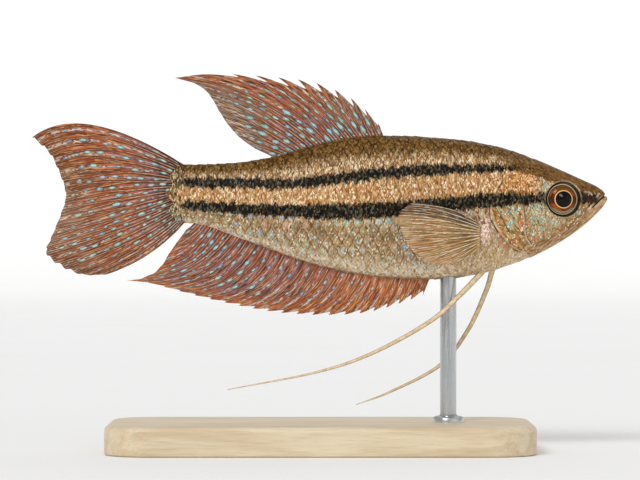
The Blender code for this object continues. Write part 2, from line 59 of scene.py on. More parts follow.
WIDEST_LEVEL = [(-18.6, 0.4), (-10.0, 0.0), (0.0, -0.5), (13.0, -0.9),
                (22.0, -1.0), (28.0, -0.8), (32.0, -0.4), (35.06, -0.1)]
SNOUT_TIP = 35.06
SNOUT_ROUND = 0.8
TAIL_STALK_END = -17.4
TAIL_STALK_BULGE = 0.55

# The head's features, as lines in side view.
GILL_EDGE = [(24.2, 7.6), (23.4, 5.2), (22.7, 3.3), (22.0, 1.67), (21.19, 0.3),
             (20.75, -0.38), (20.5, -1.5), (20.57, -2.45), (20.94, -3.2), (21.38, -3.95), (21.88, -4.7),
             (22.38, -5.33), (23.13, -6.02), (23.89, -6.43), (24.5, -6.59), (25.45, -6.68), (26.4, -6.5),
             (27.6, -5.95), (28.7, -5.24), (30.1, -4.25), (31.5, -3.1), (32.5, -1.85), (33.18, -1.16)]
CHEEK_FOLD = [(24.6, -0.7), (24.76, -2.2), (24.89, -3.2), (24.98, -4.39), (25.2, -5.02), (25.6, -5.62)]
COVER_FOLDS = [[(22.57, -1.32), (23.05, -2.0), (23.51, -2.76)],
               [(21.76, -1.89), (22.19, -2.95), (22.76, -3.95), (23.2, -4.46)],
               [(25.08, -5.46), (24.7, -5.95), (24.26, -6.4)]]
JAW_FOLD = [(33.71, 0.45), (33.32, -0.11), (32.83, -0.78), (32.5, -1.25), (32.13, -1.93)]
MAXILLA = [(33.24, -0.4), (32.98, -0.75), (32.7, -1.06)]
BLOTCH = [(34.02, 0.2), (33.85, -0.06), (33.5, -0.45)]
MOUTH = [(35.5, 0.5), (35.0, 0.3), (34.7, 0.13), (34.4, -0.06),
         (34.0, -0.36), (33.5, -0.85), (33.18, -1.16)]
UPPER_JAW_BACK = 0.13
CHIN_ROUND = 0.2
CROWN_EDGE = [(19.0, 5.2), (22.5, 3.5), (24.5, 2.9), (26.3, 2.5),
              (27.6, 2.0), (28.5, 1.7), (31.2, 1.2), (31.8, 0.55), (33.3, 0.42), (34.3, 0.15), (35.1, 0.1)]
EYE_CENTRE = (29.48, -0.25)
EYE_RADIUS = 2.04
EYE_DEPTH = 1.1
EYE_STANDS_OUT = 0.85
EYE_TURN = math.radians(14)
EYE_GRID = (90, 120)
CORNEA = (1.15, 0.29)
NOSTRILS = [((33.22, 0.3), 0.1), ((31.9, 1.2), 0.09)]

# Soft spots of colour on the head, as (x, z, half length, half height).
WARM_SPOTS = [(24.26, -3.45, 0.32, 0.95), (25.33, -3.4, 0.26, 0.45),
              (26.05, -5.15, 0.4, 0.25), (21.35, -2.9, 0.22, 0.8), (23.3, -5.4, 0.45, 0.3),
              (21.7, -5.2, 0.35, 0.45), (22.5, -6.1, 0.5, 0.35), (29.0, -3.2, 0.3, 0.25),
              (31.9, -0.95, 0.25, 0.18), (20.2, -2.7, 0.35, 0.3), (27.2, -4.3, 0.3, 0.3)]
COOL_SPOTS = [(23.0, -1.35, 0.9, 0.42), (23.3, -2.3, 0.35, 0.6), (22.2, -2.1, 0.3, 0.4),
              (26.0, -1.3, 1.0, 0.4), (25.8, -2.5, 0.35, 0.5), (27.0, -2.6, 0.5, 0.45),
              (27.3, 1.0, 0.35, 0.9), (28.6, -3.0, 0.6, 0.3), (22.9, -3.4, 0.4, 0.5),
              (20.75, -0.7, 0.15, 0.4), (31.4, -1.8, 0.5, 0.3), (26.9, -3.9, 0.4, 0.3)]
# Painted highlights on the snout, as (x, z).
SNOUT_GLINTS = [(32.27, 0.68), (32.66, 0.62), (32.84, 0.48), (33.04, 0.32)]
ROSY_SPOTS = [(19.8, -4.3, 0.85, 1.4), (20.3, -2.75, 0.35, 0.3), (32.75, -1.45, 0.2, 0.25)]

# Markings: the two stripes' middle lines and half widths.
UPPER_STRIPE = [(-17.4, 1.8), (-10.0, 1.72), (-3.7, 1.65), (2.4, 2.28),
                (9.7, 3.1), (15.8, 3.36), (21.9, 3.52), (26.0, 3.5), (35.0, 1.2)]
UPPER_HALF = [(-17.4, -0.6), (-16.4, 0.3), (-15.9, 0.5), (-14.5, 0.56),
              (-9.0, 0.56), (-3.7, 0.58), (4.0, 0.66), (10.0, 0.65), (15.8, 0.54),
              (21.9, 0.34), (24.5, 0.1), (27.0, -0.4), (35.0, -2.0)]
LOWER_STRIPE = [(-17.4, -0.9), (-15.9, -1.01), (-3.7, -1.69),
                (2.4, -1.77), (9.7, -1.44), (15.8, -0.83), (21.9, -0.34), (25.6, -0.2),
                (29.6, -0.1), (31.8, -0.12), (33.3, -0.08), (34.2, 0.0), (35.0, 0.1)]
LOWER_HALF = [(-17.4, -0.6), (-16.4, 0.3), (-15.9, 0.5), (-14.5, 0.58),
              (-9.0, 0.66), (-3.7, 0.78), (2.4, 0.93), (9.7, 0.89), (15.8, 0.84), (21.9, 0.8), (25.6, 0.6),
              (29.6, 0.64), (31.8, 0.64), (32.8, 0.56), (33.3, 0.34), (33.9, -0.1), (35.2, -0.5)]

# Coat of scales.
COAT = 0.17
SCALE_STEP = 1.25
SCALE_ROW = 1.16
SCALE_LENGTH = 2.12
SCALE_WIDTH = 3.0
SCALE_POINT = 1.3
SCALE_BROADEST = 0.42
SCALE_TAPER = 0.58
SCALE_THICK = 0.035
SCALE_GRID = (9, 11)
SCALES_A_PIECE = 420
SCALES_FROM = 27.0

# The skin's rows of points, closer together from FACE_FROM forward and round the snout, and a row's points.
FACE_FROM = 17.6
SKIN_ROWS = (50, 230, 18)
SKIN_SIDES = 330

# Fins, as in the part.
DORSAL_ROOT = (7.8, -5.6)
DORSAL_LEADING = [(7.0, 9.3), (3.7, 12.15), (-0.5, 14.0), (-5.2, 14.7), (-10.8, 15.1)]
DORSAL_BROW = (-14.4, 15.05)
DORSAL_TIP = (-17.8, 14.6)
DORSAL_TRAILING = [(-15.5, 14.0), (-14.2, 13.2), (-13.2, 12.0),
                   (-12.35, 10.5), (-11.3, 8.9), (-9.9, 7.35), (-7.9, 5.95), (-6.3, 5.3)]
ANAL_ROOT = [(0, 13.4), (8, 3.8), (14, -4.4), (20, -10.8), (26, -15.3)]
ANAL_LEADING = [(12.5, -12.0), (5.2, -14.1), (-3.9, -14.15), (-12.2, -12.7), (-21.0, -10.4)]
ANAL_TIP = (-23.8, -10.1)
ANAL_TRAILING = [(-22.3, -10.0), (-20.0, -8.9), (-18.1, -6.2), (-16.4, -3.9)]
TAIL_TIPS = [(-35.2, 7.3), (-33.2, 5.5), (-31.9, 2.9), (-31.2, 0.3),
             (-31.8, -2.1), (-32.9, -4.9), (-33.5, -6.75), (-31.8, -8.35), (-29.2, -9.42), (-26.2, -9.42)]
PECTORAL_ROOT = (19.15, -4.5)
PECTORAL_ROOT_HEIGHT = 2.7
PECTORAL_MARGIN = [(10.9, -0.7), (9.4, -2.2), (10.1, -5.0), (12.4, -7.7), (15.9, -8.2)]
PECTORAL_SPREAD = math.radians(16)
PECTORAL_ROLL = math.radians(13)
PECTORAL_STANDS_OFF = 0.6
PELVIC_NEAR = [(19.6, -9.2), (16.5, -12.3), (13.1, -15.2), (6.3, -18.9), (-0.5, -21.2), (-11.3, -23.3)]
PELVIC_FAR = [(21.0, -9.0), (20.3, -11.5), (18.1, -16.3), (14.7, -20.6), (8.8, -23.8), (4.4, -25.5)]
PELVIC_ROOT_OUT = 0.95
PELVIC_TIP_OUT = 4.2
FIN_SUNK = 0.35

# Stand.
BASE_SIZE = (52.0, 26.0, 3.6)
BASE_CORNER = 6.0
BASE_EDGE = 0.7
ROD_X = 15.6
ROD_RADIUS = 1.0
ROD_IN_BELLY = 0.5

# The studio: floor, sky, and lights as (name, way towards the light, width in degrees, strength).
FLOOR_RADIUS = 1300
FLOOR_BEND = 300
SKY_STRENGTH = 0.5
LIGHTS = [("key", (-0.5, -1.0, 0.9), 24, 1.24), ("spark", (-0.5, -1.0, 0.9), 6, 0.18),
          ("fill", (0.9, -0.8, 0.25), 60, 0.36), ("top", (0.1, 0.5, 1.0), 60, 0.34)]

# The photograph's view.
VIEW_CENTRE = (-0.06, 0.0, 25.81)
VIEW_WIDTH = 78.18
VIEW_DISTANCE = 434.0
SENSOR = 36

draw = np.random.default_rng(7)


def mix(a, b, share):
    return a + (b - a) * share


def ease(value):
    value = np.clip(value, 0.0, 1.0)
    return value * value * (3 - 2 * value)


def hump(value):
    """A smooth bump that is 1 at 0 and fades to nothing beyond 2 on either side."""
    return np.exp(-value * value)


def smooth(points):
    """A smooth function through (x, value) points, by cubic pieces with averaged slopes."""
    xs, ys = np.array(sorted(points), float).T
    steps = np.diff(xs)
    rises = np.diff(ys) / steps
    middle = (rises[:-1] * steps[1:] + rises[1:] * steps[:-1]) / (steps[:-1] + steps[1:])
    slopes = np.concatenate([rises[:1], middle, rises[-1:]])

    def value(x):
        x = np.asarray(x, float)
        i = np.clip(np.searchsorted(xs, x) - 1, 0, len(steps) - 1)
        t = (x - xs[i]) / steps[i]
        level = (2 * t**3 - 3 * t**2 + 1) * ys[i] + (3 * t**2 - 2 * t**3) * ys[i + 1]
        return level + steps[i] * ((t**3 - 2 * t**2 + t) * slopes[i] + (t**3 - t**2) * slopes[i + 1])

    return value


def line_through(points):
    """A function from 0 to 1 along the smooth line through points."""
    last = len(points) - 1
    parts = [smooth([(i, p[axis]) for i, p in enumerate(points)]) for axis in range(len(points[0]))]
    return lambda share: np.stack([part(np.asarray(share) * last) for part in parts], -1)


back = smooth(BACK)
belly = smooth(BELLY)
half_width = smooth(HALF_WIDTH)
widest_level = smooth(WIDEST_LEVEL)
upper_stripe, upper_half = smooth(UPPER_STRIPE), smooth(UPPER_HALF)
lower_stripe, lower_half = smooth(LOWER_STRIPE), smooth(LOWER_HALF)
crown_edge = smooth(CROWN_EDGE)


def section(x):
    """(half width, level of the widest point, height above it, depth below it) of the body at x."""
    level = widest_level(x)
    share = np.clip((x - SNOUT_TIP + SNOUT_ROUND) / SNOUT_ROUND, 0, 1)
    rounding = np.sqrt(1 - share * share)
    return half_width(x) * rounding, level, (back(x) - level) * rounding, (level - belly(x)) * rounding


def fullness(x):
    return 2.05 + 0.35 * ease((x - 18) / 10), 1.95 + 0.15 * ease((x - 18) / 10)


def side(x, z):
    """Half the body's width at (x, z)."""
    wide, level, above, below = section(x)
    upper, lower = fullness(x)
    power = np.where(z > level, upper, lower)
    height = np.maximum(np.where(z > level, above, below), 1e-6)
    share = np.clip(np.abs(z - level) / height, 0, 1)
    return wide * (1 - share**power) ** (1 / power)


def body(x, angle):
    """The point of the body's surface at x and an angle: 0 on the fish's left, a quarter turn at the back."""
    x, angle = np.broadcast_arrays(np.asarray(x, float), np.asarray(angle, float))
    wide, level, above, below = section(x)
    upper, lower = fullness(x)
    across, up = np.cos(angle), np.sin(angle)
    power = 2 / np.where(up >= 0, upper, lower)
    y = wide * np.sign(across) * np.abs(across) ** power
    z = level + np.where(up >= 0, above, below) * np.sign(up) * np.abs(up) ** power
    stalk = ease((TAIL_STALK_END + 4 - x) / 4)
    middle, half = (back(x) + belly(x)) / 2, (back(x) - belly(x)) / 2
    bulge = TAIL_STALK_BULGE * stalk * (1 - ((z - middle) / half) ** 2)
    return np.stack([x - bulge, y, z], -1)


def facing(x, angle):
    """The outward direction of the body's surface at x and an angle."""
    along = body(x + 0.02, angle) - body(x - 0.02, angle)
    around = body(x, angle + 0.004) - body(x, angle - 0.004)
    normal = np.cross(around, along)
    return normal / np.maximum(np.linalg.norm(normal, axis=-1, keepdims=True), 1e-9)


def distance_to(line, x, z, count=60):
    """Distance of points (x, z) from a line in side view, positive to the line's left."""
    spots = line_through(line)(np.linspace(0, 1, count))
    shape = np.shape(x)
    x, z = np.ravel(x), np.ravel(z)
    near = x > spots[:, 0].min() - 3
    best = np.full(x.shape, 99.0)
    which = np.full(x.shape, -1.0)
    px, pz = x[near], z[near]
    nearest, turn = best[near], which[near]
    for a, b in zip(spots, spots[1:]):
        way = b - a
        share = np.clip(((px - a[0]) * way[0] + (pz - a[1]) * way[1]) / (way @ way), 0, 1)
        gap = np.hypot(px - a[0] - share * way[0], pz - a[1] - share * way[1])
        nearer = gap < nearest
        nearest = np.where(nearer, gap, nearest)
        turn = np.where(nearer, np.sign(way[0] * (pz - a[1]) - way[1] * (px - a[0])), turn)
    best[near], which[near] = nearest, turn
    return (best * np.where(which == 0, 1, which)).reshape(shape)


def blob(x, z, middle_x, middle_z, length, height):
    """A soft spot: 1 at its middle, fading at its half length and half height."""
    return hump(np.hypot((x - middle_x) / length, (z - middle_z) / height))


def blobs(spots, x, z):
    """The sum of soft spots at points (x, z)."""
    return sum(blob(x, z, *spot) for spot in spots)


def crease(line, x, z, width):
    """1 along a short line in side view, fading at its half width."""
    return hump(distance_to(line, x, z, 20) / width)


def head_height(x, z):
    """How far the head's skin stands out from the plain body, or lies below it, at (x, z) in side view."""
    gill = distance_to(GILL_EDGE, x, z)
    low = ease((3.4 - z) / 2.0) * mix(1.0, 0.35, ease((x - 26) / 4))
    cover = 0.2 * low * ease(1 - gill / 3.2) * ease(gill / 0.1)
    under = -0.14 * low * hump(gill / 0.3)
    height = np.where(gill > 0, cover, under)
    height += 0.05 * low * hump((gill - 0.16) / 0.1)
    cheek = distance_to(CHEEK_FOLD, x, z)
    height += 0.09 * hump((cheek + 0.22) / 0.18) - 0.1 * hump(cheek / 0.1)
    for fold in COVER_FOLDS:
        height -= 0.06 * crease(fold, x, z, 0.1)
    rays = np.arctan2(z + 1.0, x - 25.4)
    opercle = ease(gill / 0.5) * ease((24.3 - x) / 0.5) * ease((0.4 - z) / 0.8)
    height += 0.02 * opercle * np.sin(rays * 50 + 3 * np.sin(rays * 9))
    fold = distance_to(JAW_FOLD, x, z, 30)
    height -= 0.07 * hump(fold / 0.09)
    radius = np.hypot(x - EYE_CENTRE[0], z - EYE_CENTRE[1])
    ahead = ease((x - EYE_CENTRE[0]) / 2.0)
    height += mix(0.11, 0.15, ahead) * hump((radius - 2.24) / mix(0.12, 0.18, ahead))
    height -= 0.05 * hump((radius - 2.7) / 0.2) * (1 - ahead)
    height -= 1.1 * ease((2.09 - radius) / 0.08)
    mouth = distance_to(MOUTH, x, z)
    lips = 0.07 * hump((mouth + 0.24) / 0.14) + 0.06 * hump((mouth - 0.22) / 0.12)
    height += lips - 0.24 * hump(mouth / 0.08)
    height += 0.08 * blob(x, z, 34.45, 0.7, 0.4, 0.3) - 0.05 * crease(MAXILLA, x, z, 0.07)
    for (nx, nz), size in NOSTRILS:
        ring = np.hypot(x - nx, z - nz)
        height += 0.06 * hump((ring - size * 1.6) / 0.07) - 0.18 * ease((size * 1.15 - ring) / 0.08)
    lobe = np.hypot((x - 19.8) / np.where(x < 19.8, 1.1, 1.35), (z + 4.4) / 1.8)
    height += 0.68 * ease((1.15 - lobe) / 0.8)
    return height


def mesh(name, points, faces, values=None, finish=None, flat=False):
    """An object from points in millimetres about the fish's axis, with named values for each point."""
    made = bpy.data.meshes.new(name)
    placed = (np.asarray(points) + (0, 0, 0 if flat else AXIS_HEIGHT)) * MM
    made.from_pydata(placed.tolist(), [], faces.tolist() if isinstance(faces, np.ndarray) else faces)
    made.shade_smooth()
    for label, numbers in (values or {}).items():
        layer = made.attributes.new(label, "FLOAT", "POINT")
        layer.data.foreach_set("value", np.asarray(numbers, np.float32).ravel())
    if finish:
        made.materials.append(finish)
    piece = bpy.data.objects.new(name, made)
    bpy.context.scene.collection.objects.link(piece)
    return piece


def grid_faces(rows, columns, closed=False, start=0, flip=False):
    """Quads over a grid of points in row order; closed joins the last column to the first."""
    r, c = np.meshgrid(np.arange(rows - 1), np.arange(columns if closed else columns - 1), indexing="ij")
    here, right = r * columns + c, r * columns + (c + 1) % columns
    quads = np.stack([here, right, right + columns, here + columns], -1).reshape(-1, 4)
    return (quads[:, ::-1] if flip else quads) + start


def tube_faces(rings, count):
    """Quads round a tube's rings of count points, with a face across each end."""
    first, last = tuple(reversed(range(count))), tuple(range((rings - 1) * count, rings * count))
    return grid_faces(rings, count, closed=True).tolist() + [first, last]


def marking_values(x, z):
    """Numbers at points (x, z) in side view, which the colours of skin and scales are worked out from."""
    upper, lower = upper_stripe(x), lower_stripe(x)
    above = 0.7 + 0.3 * (z - upper) / np.maximum(back(x) - upper, 0.3)
    between = 0.4 + 0.3 * (z - lower) / np.maximum(upper - lower, 0.3)
    below = 0.4 * (z - belly(x)) / np.maximum(lower - belly(x), 0.3)
    level = np.where(z > upper, above, np.where(z > lower, between, below))
    teeth = np.abs(np.sin(np.pi * x / SCALE_STEP + np.where(z > upper, 1.4, np.where(z > lower, 0, 2.6))))
    stripe = np.minimum(np.abs(z - upper) - upper_half(x), np.abs(z - lower) - lower_half(x))
    stripe += 0.22 * (0.6 - teeth)
    gill = distance_to(GILL_EDGE, x, z)
    cheek = distance_to(CHEEK_FOLD, x, z, 30)
    mouth = distance_to(MOUTH, x, z, 30)
    jaw = distance_to(JAW_FOLD, x, z, 30)
    low = ease((3.0 - z) / 1.5)
    radius = np.hypot(x - EYE_CENTRE[0], z - EYE_CENTRE[1])
    bearing = np.arctan2(z - EYE_CENTRE[1], x - EYE_CENTRE[0])
    cover = low * mix(1.0, 0.4, ease((x - 27.5) / 3))
    # Painted shade: dark lines in the groove under the gill cover's edge, in the cheek fold, the jaw fold and
    # the cover's creases.
    dark = 0.95 * cover * hump((gill + 0.04) / 0.065) + 0.8 * hump(cheek / 0.06) + 0.6 * hump(jaw / 0.08)
    dark += sum(0.6 * crease(fold, x, z, 0.08) for fold in COVER_FOLDS)
    dark += 0.45 * blob(x, z, 35.0, -0.05, 0.22, 0.3)
    # Painted shade in the mouth's slit, in the maxilla's crease and in the nostril pits, besides the dark
    # blotch by the mouth.
    dark += 1.3 * hump(mouth / 0.1) + 0.85 * crease(BLOTCH, x, z, 0.13)
    dark += 0.7 * crease(MAXILLA, x, z, 0.07)
    dark += sum(1.2 * hump(np.hypot(x - nx, z - nz) / (size * 1.1)) for (nx, nz), size in NOSTRILS)
    # Painted shade at the top of the pectoral fin's root.
    dark += blob(x, z, 19.75, -3.1, 0.3, 0.14)
    # Painted shade in the gap round the eye and along the outer foot of the orbit's raised rim.
    dark += 1.2 * hump((radius - 2.07) / 0.06) + 0.25 * hump((radius - 2.34) / 0.05)
    # Painted highlights along the gill cover's raised edge and beside the cheek fold.
    pale = 0.7 * cover * ease((-0.6 - z) / 0.8) * hump((gill - 0.11) / 0.055)
    pale += 0.6 * hump((cheek + 0.14) / 0.07) * (z < -1.0)
    # A pale ring on the orbit's raised rim, with a painted highlight that grows towards its upper front side.
    pale += hump((radius - 2.2) / 0.06) * mix(0.12, 0.5, ease(np.cos(bearing - 1.2)))
    pale += 0.7 * hump((mouth - 0.22) / 0.08) * ease((34.5 - x) / 0.3) * ease((x - 33.3) / 0.2)
    # Painted highlights: a spot by the mouth, and the glints on the snout.
    pale += 0.9 * blob(x, z, 33.92, 0.42, 0.14, 0.1)
    pale += sum(0.7 * blob(x, z, gx, gz, 0.13, 0.08) for gx, gz in SNOUT_GLINTS)
    pale += 0.5 * blob(x, z, 19.55, -4.0, 0.2, 0.5)
    values = {"stripe": stripe, "gill": gill, "crown": z - crown_edge(x)}
    values |= {"level": np.clip(level, 0, 1), "dark": np.clip(dark, 0, 1), "pale": np.clip(pale, 0, 1)}
    for name, spots in (("warm", WARM_SPOTS), ("cool", COOL_SPOTS), ("rosy", ROSY_SPOTS)):
        values[name] = blobs(spots, x, z)
    return values


class Shader:
    """Adds nodes to one material, with short names for the common ones."""

    def __init__(self, name):
        self.material = bpy.data.materials.new(name)
        self.material.use_nodes = True
        self.tree = self.material.node_tree
        self.surface = self.tree.nodes["Principled BSDF"]
        self.colour = None

    def put(self, kind, inputs=(), **settings):
        made = self.tree.nodes.new("ShaderNode" + kind)
        for key, value in settings.items():
            setattr(made, key, value)
        for slot, value in dict(inputs).items():
            self.feed(made.inputs[slot], value)
        return made

    def feed(self, socket, value):
        if isinstance(value, bpy.types.NodeSocket):
            self.tree.links.new(value, socket)
        elif isinstance(value, tuple) and len(value) == 3 and socket.type == "RGBA":
            socket.default_value = (*linear(value), 1)
        else:
            socket.default_value = value

    def value(self, name):
        return self.put("Attribute", attribute_name=name).outputs["Fac"]

    def math(self, operation, a, b=0.0, c=0.0):
        return self.put("Math", {0: a, 1: b, 2: c}, operation=operation).outputs[0]

    def times(self, first, *others):
        """The product of the values."""
        for other in others:
            first = self.math("MULTIPLY", first, other)
        return first

    def jitter(self, value, chance, amount):
        """value moved up or down by half of amount at most, as the random number chance says."""
        return self.math("MULTIPLY_ADD", self.math("SUBTRACT", chance, 0.5), amount, value)

    def between(self, value, low, high, out_low=0.0, out_high=1.0):
        """value taken smoothly from the range low to high to the range out_low to out_high."""
        ranged = self.put("MapRange", {"Value": value, "From Min": low, "From Max": high, "To Min": out_low,
                                       "To Max": out_high}, interpolation_type="SMOOTHSTEP")
        return ranged.outputs["Result"]

    def mix(self, factor, a, b):
        made = self.put("Mix", data_type="RGBA")
        self.feed(made.inputs["Factor"], factor)
        self.feed(made.inputs[6], a)
        self.feed(made.inputs[7], b)
        return made.outputs[2]

    def lay(self, tone, *shares):
        """Lays tone over the colour so far, as thickly as the product of the shares."""
        self.colour = self.mix(self.times(*shares), self.colour, tone)

    def ramp(self, value, stops, interpolation="LINEAR"):
        made = self.put("ValToRGB", {"Fac": value})
        ramp = made.color_ramp
        ramp.interpolation = interpolation
        while len(ramp.elements) < len(stops):
            ramp.elements.new(0.5)
        for element, (place, colour) in zip(ramp.elements, stops):
            element.position = place
            element.color = (*linear(colour), 1)
        return made.outputs["Color"]

    def palette(self, value, *colours):
        """One of the colours, or a mixture of two, for value from 0 to 1."""
        last = len(colours) - 1
        return self.ramp(value, [(i / last, colour) for i, colour in enumerate(colours)])

    def pick(self, value, *colours):
        """One of the colours, unmixed, for value from 0 to 1."""
        return self.ramp(value, [(i / len(colours), colour) for i, colour in enumerate(colours)],
                         "CONSTANT")

    def cells(self, where):
        """Small cells at random about the places where, each with a colour and a distance to its middle."""
        return self.put("TexVoronoi", {"Vector": where, "Scale": 1.0}, feature="F1").outputs

    def random(self, where):
        """A random number for each of many small cells about the places where."""
        return self.put("SeparateColor", {0: self.cells(where)["Color"]}).outputs[0]

    def strokes(self, stretch, shift=(0, 0, 0), turn=0):
        """A random number for each of many small cells, which stretch makes into strokes."""
        return self.random(self.place(stretch, shift, turn))

    def place(self, stretch=(1, 1, 1), shift=(0, 0, 0), turn=0):
        """The point in millimetres, turned by turn degrees in side view, then stretched along each axis."""
        where = self.put("TexCoord").outputs["Object"]
        if turn:
            where = self.put("Mapping",
                             {"Vector": where, "Rotation": (0, math.radians(turn), 0)}).outputs[0]
        scale = tuple(1000 * s for s in stretch)
        return self.put("Mapping", {"Vector": where, "Scale": scale, "Location": shift}).outputs[0]

    def vector(self, x, y, z=0.0):
        return self.put("CombineXYZ", {0: x, 1: y, 2: z}).outputs[0]

    def forward(self):
        """How far towards the snout the point lies, in millimetres."""
        return self.put("SeparateXYZ", {0: self.place()}).outputs[0]

    def share(self, value, chance):
        """1 in the cells whose random number chance lies below value, and 0 in the others."""
        return self.math("LESS_THAN", chance, value)

    def noise(self, where, detail=2.0, roughness=0.5, warp=0.0):
        """Soft noise about the places where, which may also be a stretch for the point itself."""
        where = self.place(where) if isinstance(where, tuple) else where
        settings = {"Scale": 1.0, "Detail": detail, "Roughness": roughness, "Distortion": warp}
        return self.put("TexNoise", {"Vector": where, **settings}).outputs["Fac"]

    def bump(self, height, strength, distance):
        inputs = {"Height": height, "Strength": strength, "Distance": distance * MM}
        return self.put("Bump", inputs).outputs["Normal"]

    def finish(self, **inputs):
        """The material, with its colour so far and the other inputs fed to the surface."""
        for name, value in {"Base_Color": self.colour, **inputs}.items():
            self.feed(self.surface.inputs[name.replace("_", " ")], value)
        return self.material


def linear(colour):
    """A display colour with channels from 0 to 255, as the linear values that Blender works in."""
    shares = [c / 255 for c in colour]
    return tuple(s / 12.92 if s <= 0.04045 else ((s + 0.055) / 1.055) ** 2.4 for s in shares)


# The thin wet film on skin and scales.
MOIST = {"Specular_IOR_Level": 0.06, "Coat_Weight": 0.08, "Coat_IOR": 1.3}

# Colours of the thin strokes in each zone, up the side and on the head.
BELLY_TONES = [(238, 222, 196), (200, 170, 128), (252, 246, 234),
               (224, 200, 166), (178, 146, 100), (246, 232, 214), (228, 210, 172), (210, 178, 150)]
BREAST_TONES = [(208, 180, 134), (186, 154, 102), (226, 206, 168),
                (198, 162, 112), (170, 136, 86), (216, 188, 152), (204, 174, 118), (192, 152, 108)]
FLANK_TONES = [(220, 176, 116), (146, 104, 56), (238, 208, 170), (222, 154, 112),
               (124, 98, 56), (200, 180, 138), (216, 166, 98), (168, 170, 140), (242, 216, 190),
               (134, 92, 48), (224, 176, 142), (172, 130, 76), (210, 150, 110), (110, 80, 42)]
MIDDLE_TONES = [(200, 146, 80), (162, 108, 54), (222, 188, 140), (202, 134, 98), (132, 88, 46),
                (236, 210, 170), (180, 146, 92), (208, 160, 98), (172, 114, 64), (196, 154, 108)]
FLECK_TONES = [(150, 108, 58), (216, 182, 140), (178, 132, 80),
               (234, 210, 176), (116, 82, 40), (204, 152, 108), (168, 142, 100), (130, 94, 48)]
BACK_TONES = [(66, 44, 16), (102, 70, 30), (124, 88, 40), (80, 56, 22),
              (138, 102, 54), (70, 48, 18), (110, 78, 34), (90, 62, 26)]
CHEEK_TONES = [(180, 150, 106), (134, 110, 70), (198, 176, 136), (184, 126, 88), (116, 96, 60),
               (152, 162, 126), (198, 144, 112), (136, 124, 88), (212, 198, 160), (160, 136, 96)]
JAW_TONES = [(160, 124, 80), (124, 92, 56), (180, 148, 106),
             (164, 112, 74), (138, 106, 66), (190, 162, 122)]
COVER_TONES = [(190, 152, 90), (140, 102, 54), (212, 180, 130),
               (184, 116, 70), (112, 82, 40), (172, 172, 122), (204, 146, 102), (150, 116, 64)]
TEMPLE_TONES = [(192, 110, 52), (222, 176, 120), (156, 92, 44),
                (206, 138, 78), (232, 202, 156), (166, 108, 56), (196, 154, 94), (130, 92, 50)]
CROWN_TONES = [(72, 46, 18), (112, 78, 36), (86, 58, 26), (132, 94, 50),
               (98, 68, 32), (150, 114, 70), (78, 52, 22)]
NEAR_EYE_TONES = [(174, 140, 98), (130, 106, 66), (206, 176, 142),
                  (188, 140, 112), (150, 152, 116), (110, 86, 48), (220, 200, 172), (164, 124, 76)]
THROAT_TONES = [(174, 140, 92), (150, 116, 70), (196, 162, 114),
                (168, 130, 82), (190, 144, 100), (206, 170, 124), (140, 108, 64), (212, 182, 140)]
WARM_TONES = [(188, 112, 68), (210, 150, 108), (166, 92, 56), (202, 128, 88), (180, 126, 100)]
COOL_TONES = [(140, 172, 152), (190, 204, 172), (124, 152, 158),
              (178, 184, 130), (156, 192, 174), (208, 216, 192), (160, 168, 176), (134, 150, 108)]
ROSY_TONES = [(226, 178, 156), (246, 224, 208), (190, 136, 134), (236, 198, 168), (248, 236, 222)]
INK_TONES = [(14, 12, 9), (32, 30, 24), (20, 18, 14), (74, 62, 42),
             (24, 24, 20), (90, 88, 76), (16, 16, 14), (50, 40, 26)]


